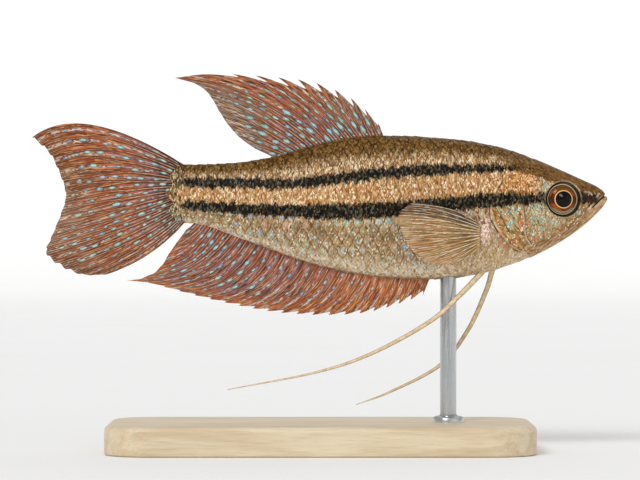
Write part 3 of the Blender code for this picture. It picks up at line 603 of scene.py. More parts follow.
def body_colours(s):
    """The nodes that colour skin and scales alike."""
    level, stripe, gill = s.value("level"), s.value("stripe"), s.value("gill")
    x = s.forward()
    broad = s.strokes((4.4, 2.4, 2.8), (8, 1, 3), 24)
    stroke, second = s.strokes((7.5, 2.6, 2.6)), s.strokes((6.5, 1.9, 1.9), (3, 9, 5))
    glint = s.strokes((7.0, 4.0, 4.0), (7, 7, 1))
    rise = s.jitter(level, second, 0.07)
    s.colour = s.pick(broad, *BELLY_TONES)
    zones = ((0.04, 0.16, stroke, FLANK_TONES), (0.37, 0.45, stroke, MIDDLE_TONES),
             (0.7, 0.76, stroke, FLECK_TONES), (0.8, 0.89, broad, BACK_TONES))
    for low, high, chance, tones in zones:
        s.lay(s.pick(chance, *tones), s.between(rise, low, high))
    s.lay((132, 108, 62), s.between(level, 0.06, 0.13), s.between(level, 0.34, 0.26), 0.55)
    s.lay(s.pick(stroke, *BREAST_TONES), s.between(x, 13.0, 19.0), s.between(rise, 0.34, 0.12), 0.8)
    shade = s.noise((0.5, 0.5, 0.7), 3)
    s.lay(s.mix(0.5, s.colour, (120, 84, 40)), s.between(shade, 0.35, 0.7, 0.0, 0.3))
    tint = s.ramp(level, [(0.0, (240, 226, 206)), (0.3, (236, 230, 208)), (0.5, (254, 236, 200)),
                          (0.78, (246, 228, 196)), (0.88, (164, 126, 70)), (1.0, (130, 98, 50))])
    s.lay(tint, s.share(0.11, glint))
    s.lay((96, 70, 34), s.between(level, 0.02, 0.008), s.between(gill, -7.0, -8.0), 0.7)
    clouds = s.noise(s.place((0.35, 0.5, 0.9), (3, 0, 6)), 2)
    olive = s.times(s.between(clouds, 0.45, 0.6), s.between(level, 0.2, 0.26), s.between(level, 0.36, 0.3))
    s.lay((96, 76, 40), olive, s.between(x, -12.0, -2.0), 0.5)
    rear = s.share(s.between(x, -16.3, -17.3, 0.0, 0.75), second)
    s.lay(s.pick(stroke, (78, 60, 30), (120, 96, 56), (56, 40, 20), (204, 184, 150), (98, 76, 42)), rear)
    head_colours(s, second, x)
    edge = s.jitter(stripe, stroke, 0.42)
    ragged = s.noise(s.place((1.8, 1.0, 1.0), (1, 4, 2)), 2)
    edge = s.jitter(edge, ragged, 1.0)
    ink = s.pick(s.strokes((6.0, 3.0, 3.0), (5, 5, 5)), *INK_TONES)
    frayed = s.share(s.between(x, 19.0, 22.0, 0.03, 0.1), glint)
    ink = s.mix(frayed, ink, s.pick(second, (112, 86, 46), (84, 96, 84), (132, 104, 64), (70, 50, 24)))
    ink = s.mix(s.between(x, 31.6, 32.4, 0.0, 0.75), ink, (52, 34, 18))
    s.lay((84, 60, 30), s.between(edge, 0.34, 0.0), 0.4)
    s.lay(ink, s.between(edge, 0.08, -0.08))
    # dark is mostly painted shade (folds, creases, mouth, nostrils, eye socket, pectoral root) with a few
    # dark blotches; pale is mostly painted highlights, with the pale lip and the patch at the pectoral root.
    s.lay((34, 22, 14), s.value("dark"))
    s.lay(s.pick(second, (236, 214, 180), (222, 190, 160), (240, 228, 204)), s.value("pale"), 0.85)


def head_colours(s, second, x):
    """The head's own tones laid over the body's."""
    level, gill = s.value("level"), s.value("gill")
    fleck, other = s.strokes((8.0, 4.5, 4.4), (5, 2, 7)), s.strokes((7.5, 4.5, 4.2), (1, 6, 3))
    slanted = s.strokes((1.6, 4.0, 7.0), (2, 3, 4), -48)
    rising = s.strokes((1.8, 6.5, 7.0), (2, 8, 4), 33)
    wave = s.times(s.math("SUBTRACT", second, 0.5), 0.3)
    on_head = s.between(gill, -0.06, 0.06)
    cheek = s.mix(s.between(gill, 1.5, 0.7), s.pick(fleck, *CHEEK_TONES), s.pick(rising, *JAW_TONES))
    cheek = s.mix(s.between(x, 25.1, 24.5), cheek, s.pick(slanted, *COVER_TONES))
    s.lay(cheek, on_head, s.between(level, 0.46, 0.36))
    temple = s.times(s.between(s.math("ADD", gill, wave), 0.1, 0.5), s.between(level, 0.38, 0.46))
    temple_tone = s.pick(s.strokes((7.5, 4.0, 4.5), (4, 4, 9)), *TEMPLE_TONES)
    by_eye = s.share(s.between(x, 25.4, 27.2, 0.05, 0.95), other)
    s.lay(s.mix(by_eye, temple_tone, s.pick(fleck, *NEAR_EYE_TONES)), temple)
    s.lay(s.pick(rising, *THROAT_TONES), s.between(x, 24.0, 26.5), s.between(gill, 0.06, -0.06))
    crown = s.times(s.between(s.math("ADD", s.value("crown"), wave), -0.12, 0.15), s.between(x, 21.5, 23.5))
    sloping = s.strokes((3.0, 4.5, 7.5), (6, 3, 1), -24)
    s.lay(s.mix(0.45, s.pick(sloping, *CROWN_TONES), s.pick(fleck, *CROWN_TONES)), crown)
    sheen = s.between(s.noise(s.place((0.7, 0.8, 1.3), (4, 2, 8)), 2), 0.48, 0.66, 0.0, 0.3)
    s.lay((150, 112, 62), crown, sheen)
    for name, share, tones in (("warm", 0.8, WARM_TONES), ("cool", 0.75, COOL_TONES),
                               ("rosy", 1.0, ROSY_TONES)):
        s.lay(s.pick(fleck, *tones), s.share(s.times(s.value(name), share), other))
    glow = s.share(0.05, s.strokes((8.0, 6.0, 6.0), (3, 1, 8)))
    s.lay((246, 234, 212), glow, on_head, s.between(s.value("crown"), 0.1, 0.0), 0.8)


def skin_material():
    s = Shader("skin")
    body_colours(s)
    rough = s.between(s.noise((3, 3, 3), 2), 0.3, 0.7, 0.3, 0.45)
    grain = s.noise((6, 4, 4), 4, 0.65)
    scaly = s.cells(s.place((1.7, 1.7, 1.4)))["Distance"]
    relief = s.math("MULTIPLY_ADD", scaly, 1.2, grain)
    return s.finish(Roughness=rough, Coat_Roughness=0.15, Normal=s.bump(relief, 0.5, 0.05), **MOIST)


def scale_material():
    s = Shader("scales")
    body_colours(s)
    across, down, chance, rim = (s.value(v) for v in ("across", "down", "chance", "rim"))
    level, stripe = s.value("level"), s.value("stripe")
    outside = s.between(stripe, -0.15, 0.25)
    slant = s.math("MULTIPLY_ADD", s.math("ABSOLUTE", across), 0.42, down)
    where = s.vector(s.times(slant, 9.0), s.times(across, 1.6), s.times(chance, 60.0))
    growth = s.noise(where, 2, 0.6)
    calm = s.between(level, 0.36, 0.44, 0.85, 1.0)
    tint = s.ramp(level, [(0.0, (232, 216, 198)), (0.3, (220, 206, 178)), (0.5, (244, 208, 156)),
                          (0.78, (236, 204, 164)), (0.88, (138, 102, 50)), (1.0, (112, 84, 38))])
    s.lay(tint, s.between(growth, 0.55, 0.7, 0.0, 0.6), outside, calm)
    shadow = s.ramp(level, [(0.0, (154, 120, 84)), (0.3, (110, 78, 38)),
                            (0.5, (146, 90, 44)), (0.85, (52, 34, 10))])
    s.lay(shadow, s.between(growth, 0.45, 0.3, 0.0, 0.65), outside, calm)
    breast = s.times(s.between(s.forward(), 12.0, 18.0), s.between(level, 0.34, 0.12))
    clear = s.times(outside, s.math("MULTIPLY_ADD", breast, -0.75, 1.0))
    bare = s.value("bare")
    hue = s.math("FRACT", s.math("MULTIPLY_ADD", s.strokes((8.0, 3.4, 3.0), (2, 2, 8)), 0.36, chance))
    cool_tone = s.pick(hue, (112, 184, 174), (98, 166, 186), (132, 152, 200),
                       (220, 216, 196), (122, 188, 158), (174, 182, 116), (216, 160, 136), (196, 162, 104))
    olive_tone = s.pick(chance, (124, 100, 58), (176, 134, 92), (104, 88, 52),
                        (160, 142, 92), (196, 146, 118), (138, 108, 62))
    olive_row = s.times(s.between(level, 0.2, 0.23), s.between(level, 0.31, 0.28))
    centre_tone = s.mix(olive_row, cool_tone, olive_tone)
    grained = s.jitter(bare, growth, 0.9)
    uneven = s.between(s.math("FRACT", s.times(chance, 7.0)), 0.2, 0.5, 0.25, 1.0)
    heart = s.times(s.between(grained, 0.32, 0.6), clear, uneven)
    greys = ((0.0, 90), (0.1, 180), (0.35, 240), (0.42, 60), (0.8, 80), (0.88, 20))
    heart = s.times(heart, s.ramp(level, [(place, (grey, grey, grey)) for place, grey in greys]))
    s.lay(centre_tone, heart)
    spark = s.times(s.between(grained, 0.74, 0.9), clear, s.between(level, 0.42, 0.36))
    s.lay((206, 226, 224), spark, 0.7)
    worn = s.between(s.noise(s.place((2.3, 1.8, 1.7), (9, 1, 3)), 2), 0.38, 0.6, 0.2, 1.0)
    lip = s.times(s.between(rim, 0.7, 0.8), s.between(rim, 0.94, 0.88), clear)
    s.lay((228, 204, 164), lip, s.between(level, 0.45, 0.38, 0.0, 0.3), worn)
    edge_tone = s.ramp(level, [(0.0, (150, 116, 76)), (0.15, (84, 56, 22)), (0.4, (92, 58, 24)),
                               (0.5, (150, 92, 42)), (0.78, (104, 68, 28)), (0.88, (30, 16, 4))])
    edging = s.times(s.between(rim, 0.86, 0.98), s.between(stripe, -0.2, 0.2, 0.1, 1.0), worn)
    up_side = s.times(s.between(level, 0.03, 0.16, 0.35, 0.7), s.between(level, 0.72, 0.84, 1.0, 1.6))
    s.lay(edge_tone, edging, s.math("MULTIPLY_ADD", breast, -0.8, 1.0), up_side)
    lines = s.math("SINE", s.times(slant, 60.0))
    fans = s.math("SINE", s.times(across, 26.0))
    relief = s.math("MULTIPLY_ADD", lines, 0.5, fans)
    rough = s.between(s.noise((4, 4, 4), 2), 0.3, 0.7, 0.26, 0.42)
    return s.finish(Roughness=rough, Coat_Roughness=0.12, Normal=s.bump(relief, 0.3, 0.02), **MOIST)


# Colours of the streaks in the fins' skin, and of their rays.
RUST_TONES = [(176, 94, 46), (154, 72, 34), (200, 122, 70), (120, 66, 40),
              (186, 102, 54), (214, 154, 106), (98, 62, 46), (166, 84, 42), (142, 98, 82), (192, 112, 66)]
BRICK_TONES = [(160, 78, 46), (104, 72, 66), (176, 94, 56), (122, 100, 100),
               (150, 76, 48), (78, 56, 50), (200, 146, 118), (138, 92, 84), (164, 92, 62), (156, 122, 118)]
FADED_TONES = [(192, 144, 104), (112, 80, 54), (218, 188, 154), (164, 108, 66),
               (108, 96, 82), (210, 164, 120), (138, 116, 100), (184, 114, 70), (96, 66, 44)]
AMBER_TONES = [(204, 116, 60), (186, 92, 44), (218, 144, 88), (154, 80, 44),
               (210, 124, 68), (232, 178, 130), (132, 78, 50), (194, 104, 54), (178, 114, 82)]
ASHY_TONES = [(168, 130, 98), (98, 78, 62), (206, 174, 142),
              (140, 92, 62), (116, 106, 96), (188, 142, 102), (152, 132, 116), (220, 194, 164)]
RAY_TONES = [(204, 150, 108), (168, 100, 56), (222, 184, 150),
             (146, 84, 48), (196, 136, 88), (190, 150, 128)]
WEB_TONES = [(220, 176, 118), (236, 204, 154), (186, 132, 80),
             (222, 160, 114), (208, 182, 124), (168, 130, 78), (238, 198, 164)]
ROOT_TONES = [(158, 126, 78), (126, 98, 56), (186, 154, 102),
              (204, 168, 112), (112, 88, 50), (176, 132, 84)]
SMOKE_TONES = [(84, 74, 62), (50, 46, 40), (118, 106, 98), (96, 78, 62), (40, 36, 32), (140, 124, 112)]
STRAW_TONES = [(240, 222, 186), (196, 148, 96), (250, 240, 220),
               (208, 146, 100), (234, 214, 160), (180, 142, 92), (246, 228, 204), (162, 122, 76)]


def fin_material(name, tones, clear, dark_lines):
    """Streaked skin between paler rays with dark edges.

    tones are the skin's main, deep and faded tones and the rays' tones. clear is its share of see-through at
    the root and where it has faded, and dark_lines the strength of the rays' dark edges.
    """
    s = Shader(name)
    ray, along, lane, fade, deep = (s.value(v) for v in ("ray", "along", "lane", "fade", "deep"))
    streak = s.random(s.vector(s.times(lane, 9.0), s.times(along, 0.9)))
    fleck = s.random(s.vector(s.times(lane, 10.0), s.times(along, 2.2), 4.0))
    fine = s.noise(s.place((6.0, 6.0, 6.0), (2, 2, 2)), 2, 0.7)
    s.colour = s.mix(s.between(deep, 0.0, 1.0), s.pick(streak, *tones[0]), s.pick(streak, *tones[1]))
    s.lay(s.pick(streak, *tones[2]), fade)
    # Painted shade: where deep passes 1, at the tail fin's root, the skin turns smoky dark.
    s.lay(s.pick(streak, (78, 62, 48), (40, 32, 26), (112, 94, 76), (56, 46, 38)),
          s.between(deep, 1.0, 1.5, 0.0, 0.85))
    from_middle = s.math("ABSOLUTE", s.math("SUBTRACT", s.math("FRACT", lane), 0.5))
    has_spots = s.value("spotted")
    row = s.times(s.between(from_middle, 0.27, 0.14, 0.0, 0.6), has_spots,
                  s.between(deep, 0.0, 1.0, 0.5, 1.0))
    s.lay(s.pick(fleck, (132, 88, 80), (164, 118, 108), (96, 76, 84),
                 (188, 140, 128), (120, 108, 124), (146, 76, 54), (88, 58, 50)), row)
    string = s.times(s.between(from_middle, 0.07, 0.03), has_spots, s.share(0.6, fleck))
    s.lay(s.pick(streak, (214, 190, 176), (160, 184, 192), (226, 190, 156), (182, 156, 162)), string, 0.7)
    # Dark lines along the foot of each ray: dark ray edges, and painted shade where the rays rise from the
    # skin.
    s.lay((46, 26, 18), s.value("beside"), dark_lines)
    s.lay(s.pick(fleck, *tones[3]), s.between(ray, 0.45, 0.85, 0.0, 0.8))
    bead = s.between(from_middle, 0.16, 0.08)
    frosty = s.times(s.share(s.math("MULTIPLY_ADD", s.value("frost"), 0.32, 0.06), fleck), bead)
    s.lay(s.pick(streak, (226, 208, 190), (202, 190, 184), (236, 214, 180)), frosty, 0.7)
    spot = s.jitter(s.value("spot"), fine, 0.9)
    present = s.between(s.value("spot"), 0.0, 0.1)
    s.lay((78, 58, 66), s.between(spot, 0.0, 0.2, 0.0, 0.6), present)
    hue = s.strokes((1.3, 1.3, 1.3), (4, 1, 9))
    s.lay(s.palette(hue, (122, 142, 186), (118, 160, 176), (108, 170, 164),
                    (148, 180, 140), (186, 178, 190)), s.between(spot, 0.22, 0.45, 0.0, 0.85), present)
    s.lay(s.palette(fine, (132, 178, 196), (168, 212, 200), (244, 246, 236)),
          s.between(spot, 0.42, 0.75, 0.0, 0.95), present)
    clearness = s.math("MULTIPLY_ADD", fade, clear[1] - clear[0], clear[0])
    alpha = s.math("SUBTRACT", 1.0, s.times(s.between(ray, 0.6, 0.2), clearness))
    return s.finish(Roughness=0.4, Specular_IOR_Level=0.12, Coat_Weight=0.05,
                    Coat_Roughness=0.2, Alpha=alpha, Normal=s.bump(fine, 0.2, 0.03))


def eye_material():
    s = Shader("eye")
    ring, turn = s.value("ring"), s.value("turn")
    fibres = s.noise(s.vector(s.times(turn, 9.0), s.times(ring, 1.2)), 3, 0.6)
    wave = s.jitter(ring, fibres, 0.02)
    bands = s.ramp(wave,
                   [(0.0, (2, 2, 3)), (0.478, (3, 2, 2)), (0.492, (214, 150, 76)),
                    (0.512, (252, 218, 154)), (0.535, (224, 156, 80)), (0.556, (90, 36, 14)),
                    (0.8, (78, 40, 18)), (0.826, (34, 24, 14)), (0.85, (46, 34, 22)),
                    (0.868, (196, 166, 116)), (0.9, (176, 166, 134)), (0.918, (66, 62, 50)),
                    (0.932, (10, 9, 7)), (0.978, (12, 10, 8)), (0.99, (62, 48, 32)), (1.0, (84, 66, 46))])
    arcs = s.between(s.noise(s.vector(s.times(turn, 1.3), s.times(ring, 13.0)), 2, 0.5), 0.3, 0.7)
    warm = s.palette(arcs, (164, 58, 16), (44, 16, 6), (196, 92, 30),
                     (100, 60, 18), (26, 14, 6), (158, 58, 18))
    iris = s.times(s.between(ring, 0.548, 0.575), s.between(ring, 0.83, 0.81))
    s.colour = s.mix(s.times(iris, 0.85), bands, warm)
    height = s.value("height")
    s.lay(s.palette(arcs, (120, 84, 28), (52, 36, 10), (140, 100, 40)),
          iris, s.between(height, 0.45, 0.62), 0.75)
    bottom = s.times(s.between(ring, 0.68, 0.74), iris, s.between(height, -0.42, -0.62))
    s.lay(s.palette(arcs, (104, 104, 60), (164, 168, 130), (84, 80, 40)), bottom, 0.85)
    bar = s.times(iris, s.between(s.math("ABSOLUTE", s.math("ADD", height, 0.05)), 0.3, 0.14))
    s.lay((44, 24, 16), bar, 0.85)
    return s.finish(Roughness=0.3, Specular_IOR_Level=0.0, Coat_Weight=0.75,
                    Coat_Roughness=0.02, Coat_IOR=1.34, Normal=s.bump(fibres, 0.1, 0.02))


def filament_material():
    s = Shader("filament")
    grain = s.noise((2.0, 2.0, 2.0), 3)
    core = s.mix(s.between(grain, 0.3, 0.7), (236, 216, 178), (206, 176, 130))
    edge = s.between(s.value("edge"), 0.45, 0.85)
    s.colour = s.mix(s.times(edge, 0.6), core, (140, 108, 70))
    rings = s.math("SINE", s.times(s.value("along"), 22.0))
    return s.finish(Roughness=0.42, Coat_Weight=0.2, Normal=s.bump(rings, 0.3, 0.03))


def wood_material():
    s = Shader("pale_wood")
    rings = s.noise((0.05, 0.5, 0.5), 4, 0.6, 0.6)
    fibre = s.noise((0.25, 6.0, 6.0), 3, 0.7)
    s.colour = s.mix(s.between(rings, 0.35, 0.65), (206, 184, 150), (224, 208, 178))
    s.lay((176, 148, 110), s.between(fibre, 0.45, 0.7), 0.35)
    return s.finish(Roughness=s.between(fibre, 0.3, 0.7, 0.42, 0.55),
                    Coat_Weight=0.15, Coat_Roughness=0.3, Normal=s.bump(fibre, 0.2, 0.03))


def steel_material():
    s = Shader("steel")
    brush = s.noise((9.0, 9.0, 0.4), 3, 0.7)
    s.colour = s.mix(brush, (176, 178, 180), (206, 207, 208))
    return s.finish(Metallic=1.0, Roughness=s.between(brush, 0.3, 0.7, 0.2, 0.34),
                    Normal=s.bump(brush, 0.15, 0.01))


def skin(finish):
    """The whole body in one closed skin, a little inside the coat of scales behind the gill covers."""
    tail = np.linspace(TAIL_STALK_END, FACE_FROM, SKIN_ROWS[0])
    face = np.linspace(FACE_FROM, SNOUT_TIP - SNOUT_ROUND, SKIN_ROWS[1])[1:]
    snout = SNOUT_TIP - SNOUT_ROUND + SNOUT_ROUND * np.sin(np.linspace(0, 1.5, SKIN_ROWS[2]))[1:]
    xs = np.concatenate([tail, face, snout])
    count = SKIN_SIDES
    angles = np.linspace(0, 2 * np.pi, count, endpoint=False)
    x, angle = np.meshgrid(xs, angles, indexing="ij")
    points = body(x, angle)
    px, pz = points[..., 0].copy(), points[..., 2].copy()
    gill = distance_to(GILL_EDGE, px, pz)
    scaly = (gill < -0.1) & ((pz > -4) | (px < 25.5)) | ((pz > 3.9) & (px < 26.0))
    coat = COAT * np.where(scaly, ease((26.6 - px) / 1.5), 0)
    coat *= np.where(gill < 0, ease(-gill / 0.4), ease((pz - 3.9) / 0.8))
    points = points + facing(x, angle) * (head_height(px, pz) - coat)[..., None]
    above = distance_to(MOUTH, px, pz)
    points[..., 0] -= UPPER_JAW_BACK * ease((px - 33.7) / 1.3) * ease((0.1 - above) / 0.15)
    chin = CHIN_ROUND * ease((px - 34.2) / 0.8) * ease((above - 0.02) / 0.1)
    points[..., 0] -= chin * ease((pz + 0.25) / 0.55)
    values = marking_values(px, pz)
    caps = [[SNOUT_TIP, 0, float(widest_level(SNOUT_TIP))], [TAIL_STALK_END - TAIL_STALK_BULGE, 0, 0.4]]
    flat = np.concatenate([points.reshape(-1, 3), caps])
    faces = grid_faces(len(xs), count, closed=True).tolist()
    last = (len(xs) - 1) * count
    ring = [(i, (i + 1) % count) for i in range(count)]
    faces += [(last + a, last + b, len(flat) - 2) for a, b in ring]
    faces += [(b, a, len(flat) - 1) for a, b in ring]
    values = {key: np.append(value, [value[-1].mean(), value[0].mean()]) for key, value in values.items()}
    return mesh("skin", flat, faces, values, finish)


def arc_table():
    """For stations along the body, the angle at each distance round it from the line between the stripes."""
    xs = np.linspace(-19.0, 30.0, 246)
    angles = np.linspace(-np.pi / 2 - 0.9, np.pi / 2 + 0.9, 721)
    side_angles = slice(180, 541)
    x, angle = np.meshgrid(xs, angles, indexing="ij")
    spots = body(x, angle)
    steps = np.linalg.norm(np.diff(spots, axis=1), axis=2)
    arcs = np.concatenate([np.zeros((len(xs), 1)), np.cumsum(steps, axis=1)], axis=1)
    middle = (upper_stripe(xs) + lower_stripe(xs)) / 2
    near = np.argmin(np.abs(spots[:, side_angles, 2] - middle[:, None]), axis=1) + side_angles.start
    arcs -= arcs[np.arange(len(xs)), near][:, None]
    rounds = np.linspace(-14.5, 12.5, 541)
    table = np.stack([np.interp(rounds, arcs[i], angles) for i in range(len(xs))])
    ends = [arcs[:, np.argmin(np.abs(angles - end))] for end in (-np.pi / 2, np.pi / 2)]
    return xs, rounds, table, ends


def lookup(table, xs, rounds, x, d):
    """The table's value at (x, d), between its nearest entries."""
    fx = np.clip((x - xs[0]) / (xs[1] - xs[0]), 0, len(xs) - 1.001)
    fd = np.clip((d - rounds[0]) / (rounds[1] - rounds[0]), 0, len(rounds) - 1.001)
    i, j = fx.astype(int), fd.astype(int)
    u, v = fx - i, fd - j
    before = table[i, j] * (1 - v) + table[i, j + 1] * v
    after = table[i + 1, j] * (1 - v) + table[i + 1, j + 1] * v
    return before * (1 - u) + after * u


def scale_roots(xs, ends):
    """(x, distance round, size) of every scale's middle on one side, in staggered rows."""
    roots = []
    rows = range(int(-14 / SCALE_ROW), int(12 / SCALE_ROW))
    for row in rows:
        x = SCALES_FROM - (0.5 * SCALE_STEP if row % 2 else 0.0)
        while x > TAIL_STALK_END + 0.1:
            size = mix(0.86, 1.0, float(ease((x + 18) / 14)))
            d = SCALE_ROW * row * mix(0.93, 1.0, float(ease((x + 18) / 14)))
            low, high = np.interp(x, xs, ends[0]), np.interp(x, xs, ends[1])
            if low - 0.05 < d < high + 0.05:
                place = (x + draw.normal(0, 0.03), d + draw.normal(0, 0.02))
                roots.append((*place, size * draw.uniform(0.96, 1.05)))
            x -= SCALE_STEP * size
    return np.array(roots)


def scales(finish):
    """The coat of overlapping scales, in joined pieces for each side."""
    xs, rounds, table, ends = arc_table()
    columns, rows = SCALE_GRID
    u, v = np.meshgrid(np.linspace(-1, 1, columns), np.linspace(0, 1, rows), indexing="ij")
    v = v**0.85
    point = np.clip((v - SCALE_BROADEST) / SCALE_TAPER, 0, 1)
    tip = np.clip(1 - point**SCALE_POINT, 0, 1) ** (1 / SCALE_POINT)
    breadth = np.where(v < SCALE_BROADEST, 0.8 + 0.2 * ease(v / SCALE_BROADEST), tip)
    local_x = -SCALE_LENGTH * (v - SCALE_BROADEST)
    local_d = SCALE_WIDTH / 2 * u * breadth
    lift = COAT * (0.16 + 0.84 * v**0.9) - 0.05 * u * u * v
    shape = (local_x, local_d, lift, u, v, breadth)
    made = []
    for sign, label in ((1, "left"), (-1, "right")):
        roots = scale_roots(xs, ends)
        angle = lookup(table, xs, rounds, roots[:, 0], roots[:, 1])
        spots = body(roots[:, 0], angle)
        gill = distance_to(GILL_EDGE, spots[:, 0], spots[:, 2])
        nape = (spots[:, 2] > 4.2) & (spots[:, 0] < 25.8)
        breast = (spots[:, 2] > -4) | (spots[:, 0] < 25.2)
        keep = (((gill < -0.12) & breast) | nape) & ~near_lobe(spots)
        roots = roots[keep][np.argsort(roots[keep][:, 0])]
        for part, start in enumerate(range(0, len(roots), SCALES_A_PIECE)):
            name, group = f"scales_{label}_{part + 1}", roots[start:start + SCALES_A_PIECE]
            made.append(scale_piece(name, sign, group, shape, (xs, rounds, table), finish))
    return made


def near_lobe(spots):
    return np.hypot((spots[:, 0] - 19.8) / 1.5, (spots[:, 2] + 4.1) / 2.1) < 1


def scale_piece(name, sign, roots, shape, tables, finish):
    """One joined mesh of thin closed plates, each bent to the body's surface."""
    local_x, local_d, lift, u, v, breadth = shape
    xs, rounds, table = tables
    count = len(roots)
    x = roots[:, 0, None, None] + local_x * roots[:, 2, None, None]
    d = roots[:, 1, None, None] + local_d * roots[:, 2, None, None]
    angle = lookup(table, xs, rounds, x, d)
    base, normal = body(x, angle), facing(x, angle)
    top = base - normal * (COAT - lift)[..., None]
    under = top - normal * SCALE_THICK
    for layer in (top, under):
        layer[..., 1] *= sign
    each = local_x.size
    columns, rows = local_x.shape
    points = np.concatenate([top.reshape(count, each, 3), under.reshape(count, each, 3)], axis=1)
    over = grid_faces(columns, rows, flip=sign > 0)
    below = grid_faces(columns, rows, start=each, flip=sign < 0)
    rim = edge_of_grid(columns, rows)
    beside = np.roll(rim, -1)
    wall = np.stack([rim, beside, beside + each, rim + each], -1)
    if sign < 0:
        wall = wall[:, ::-1]
    shell = np.concatenate([over, below, wall])
    faces = (shell[None] + (np.arange(count) * 2 * each)[:, None, None]).reshape(-1, 4)
    values = marking_values(x, top[..., 2])
    point = np.clip((v - SCALE_BROADEST) / SCALE_TAPER, 0, 1)
    rim_value = (np.abs(u * breadth) ** SCALE_POINT + point**SCALE_POINT) ** (1 / SCALE_POINT)
    values["rim"] = np.broadcast_to(rim_value, x.shape)
    bare = ((np.abs(u * breadth) / 0.72) ** 1.3 + (np.abs(v - 0.7) / 0.3) ** 1.3) ** (1 / 1.3)
    values["bare"] = np.broadcast_to(np.clip(1 - bare, 0, 1), x.shape)
    values["across"] = np.broadcast_to(u, x.shape)
    values["down"] = np.broadcast_to(v, x.shape)
    values["chance"] = np.broadcast_to(draw.random(count)[:, None, None], x.shape)
    values = {key: np.repeat(value.reshape(count, 1, each), 2, axis=1) for key, value in values.items()}
    piece = mesh(name, points.reshape(-1, 3), faces, values, finish)
    add_bake_map(piece, roots, sign, local_x, local_d)
    return piece


def add_bake_map(piece, roots, sign, local_x, local_d):
    """Lays each scale as a small patch on an unwrap of the body, where its root lies."""
    middle = np.stack([(roots[:, 0] + 19.5) / 56, 0.27 + roots[:, 1] / 60], -1)
    if sign < 0:
        middle[:, 1] += 0.48
    patch = 0.0015 * np.stack([local_x / SCALE_LENGTH * 2, local_d / SCALE_WIDTH * 2], -1)
    spots = middle[:, None, None] + patch[None]
    spots = np.repeat(spots.reshape(len(roots), 1, -1, 2), 2, axis=1).reshape(-1, 2)
    layer = piece.data.uv_layers.new(name="OFBake")
    corners = np.empty(len(piece.data.loops), np.int32)
    piece.data.loops.foreach_get("vertex_index", corners)
    layer.data.foreach_set("uv", spots[corners].astype(np.float32).ravel())


def fin_sheet(name, rays, across, finish, shape, lean=(0, 1, 0), per_ray=12, rows=90):
    """A thin fin with rays standing out of both faces.

    rays has the last ray's number, functions of the ray's number for root, tip, bow, bend and notch, and
    functions of the ray's number and the share of its length for the colours. across gives the fin's middle
    level across the fish. shape is (half thickness at the root, at the margin, height of the rays).
    """
    last = rays["last"]
    i, t = np.meshgrid(np.linspace(0, last, last * per_ray + 1), np.linspace(0, 1, rows), indexing="ij")
    nearest = np.round(i)
    away = i - nearest
    behind = i - np.floor(i)
    tooth = ease(behind / 0.13) * (1 - ease((behind - 0.1) / 0.9))
    t = t * (1 - rays["notch"](i) * tooth)
    spot = fin_point(rays, i, t)
    ahead, after = np.minimum(i + 0.5, last), np.maximum(i - 0.5, 0)
    apart = np.linalg.norm(fin_point(rays, ahead, t) - fin_point(rays, after, t), axis=-1)
    spacing = np.maximum(apart / np.maximum(ahead - after, 0.5), 0.05)
    split = 0.25 * ease((t - 0.3) / 0.5)
    fork = rays.get("fork", 0.12) * ease((t - 0.68) / 0.3)
    off = np.abs(np.abs(np.abs(away) - split) - fork) * spacing
    width = mix(0.1, 0.065, ease(t / 0.5))
    ridge = hump(off / width)
    half = mix(shape[0], shape[1], t**0.7) + shape[2] * ridge * (1 - 0.7 * t)
    half *= 1 - 0.6 * ease((t - 0.96) / 0.04)
    middle = across(i, t, spot)
    centre = np.stack([spot[..., 0], middle, spot[..., 1]], -1)
    lean = np.array(lean, float) / np.linalg.norm(lean)
    points = np.concatenate([(centre + way * half[..., None] * lean).reshape(-1, 3) for way in (1, -1)])
    columns, each = i.shape[0], i.size
    rim = edge_of_grid(columns, rows)
    beside = np.roll(rim, -1)
    wall = np.stack([beside, rim, rim + each, beside + each], -1)
    faces = np.concatenate([grid_faces(columns, rows), grid_faces(columns, rows, start=each, flip=True),
                            wall])
    length = np.linalg.norm(rays["tip"](i) - rays["root"](i), axis=-1)
    run = t * length
    values = {"ray": ridge, "along": run, "lane": i, "beside": hump((off - width * 1.75) / 0.06)}
    values |= {name: rays[name](i, t) for name in ("fade", "deep", "frost")}
    values["spotted"] = (rays["spots"][0] > 0) * ease(t / 0.1) * ease((0.95 - t) / 0.2)
    values["spot"] = fin_spots(i, run, length, spacing, rays["spots"])
    for key, value in values.items():
        values[key] = np.concatenate([np.broadcast_to(value, i.shape).ravel()] * 2)
    piece = mesh(name, points, faces, values, finish)
    make_outward(piece)
    return piece


def edge_of_grid(columns, rows):
    """The places of a grid's outer points, in order round it."""
    edge = [(c, 0) for c in range(columns)] + [(columns - 1, r) for r in range(1, rows)]
    edge += [(c, rows - 1) for c in reversed(range(columns - 1))]
    edge += [(0, r) for r in reversed(range(1, rows - 1))]
    return np.array([c * rows + r for c, r in edge])


def make_outward(piece):
    """Turns a closed piece's faces outward where they face inward."""
    data = piece.data
    count = len(data.polygons)
    normal, centre, area = np.empty(count * 3), np.empty(count * 3), np.empty(count)
    data.polygons.foreach_get("normal", normal)
    data.polygons.foreach_get("center", centre)
    data.polygons.foreach_get("area", area)
    middle = centre.reshape(-1, 3).mean(axis=0)
    volume = ((centre.reshape(-1, 3) - middle) * normal.reshape(-1, 3)).sum(axis=1) @ area
    if volume < 0:
        data.flip_normals()


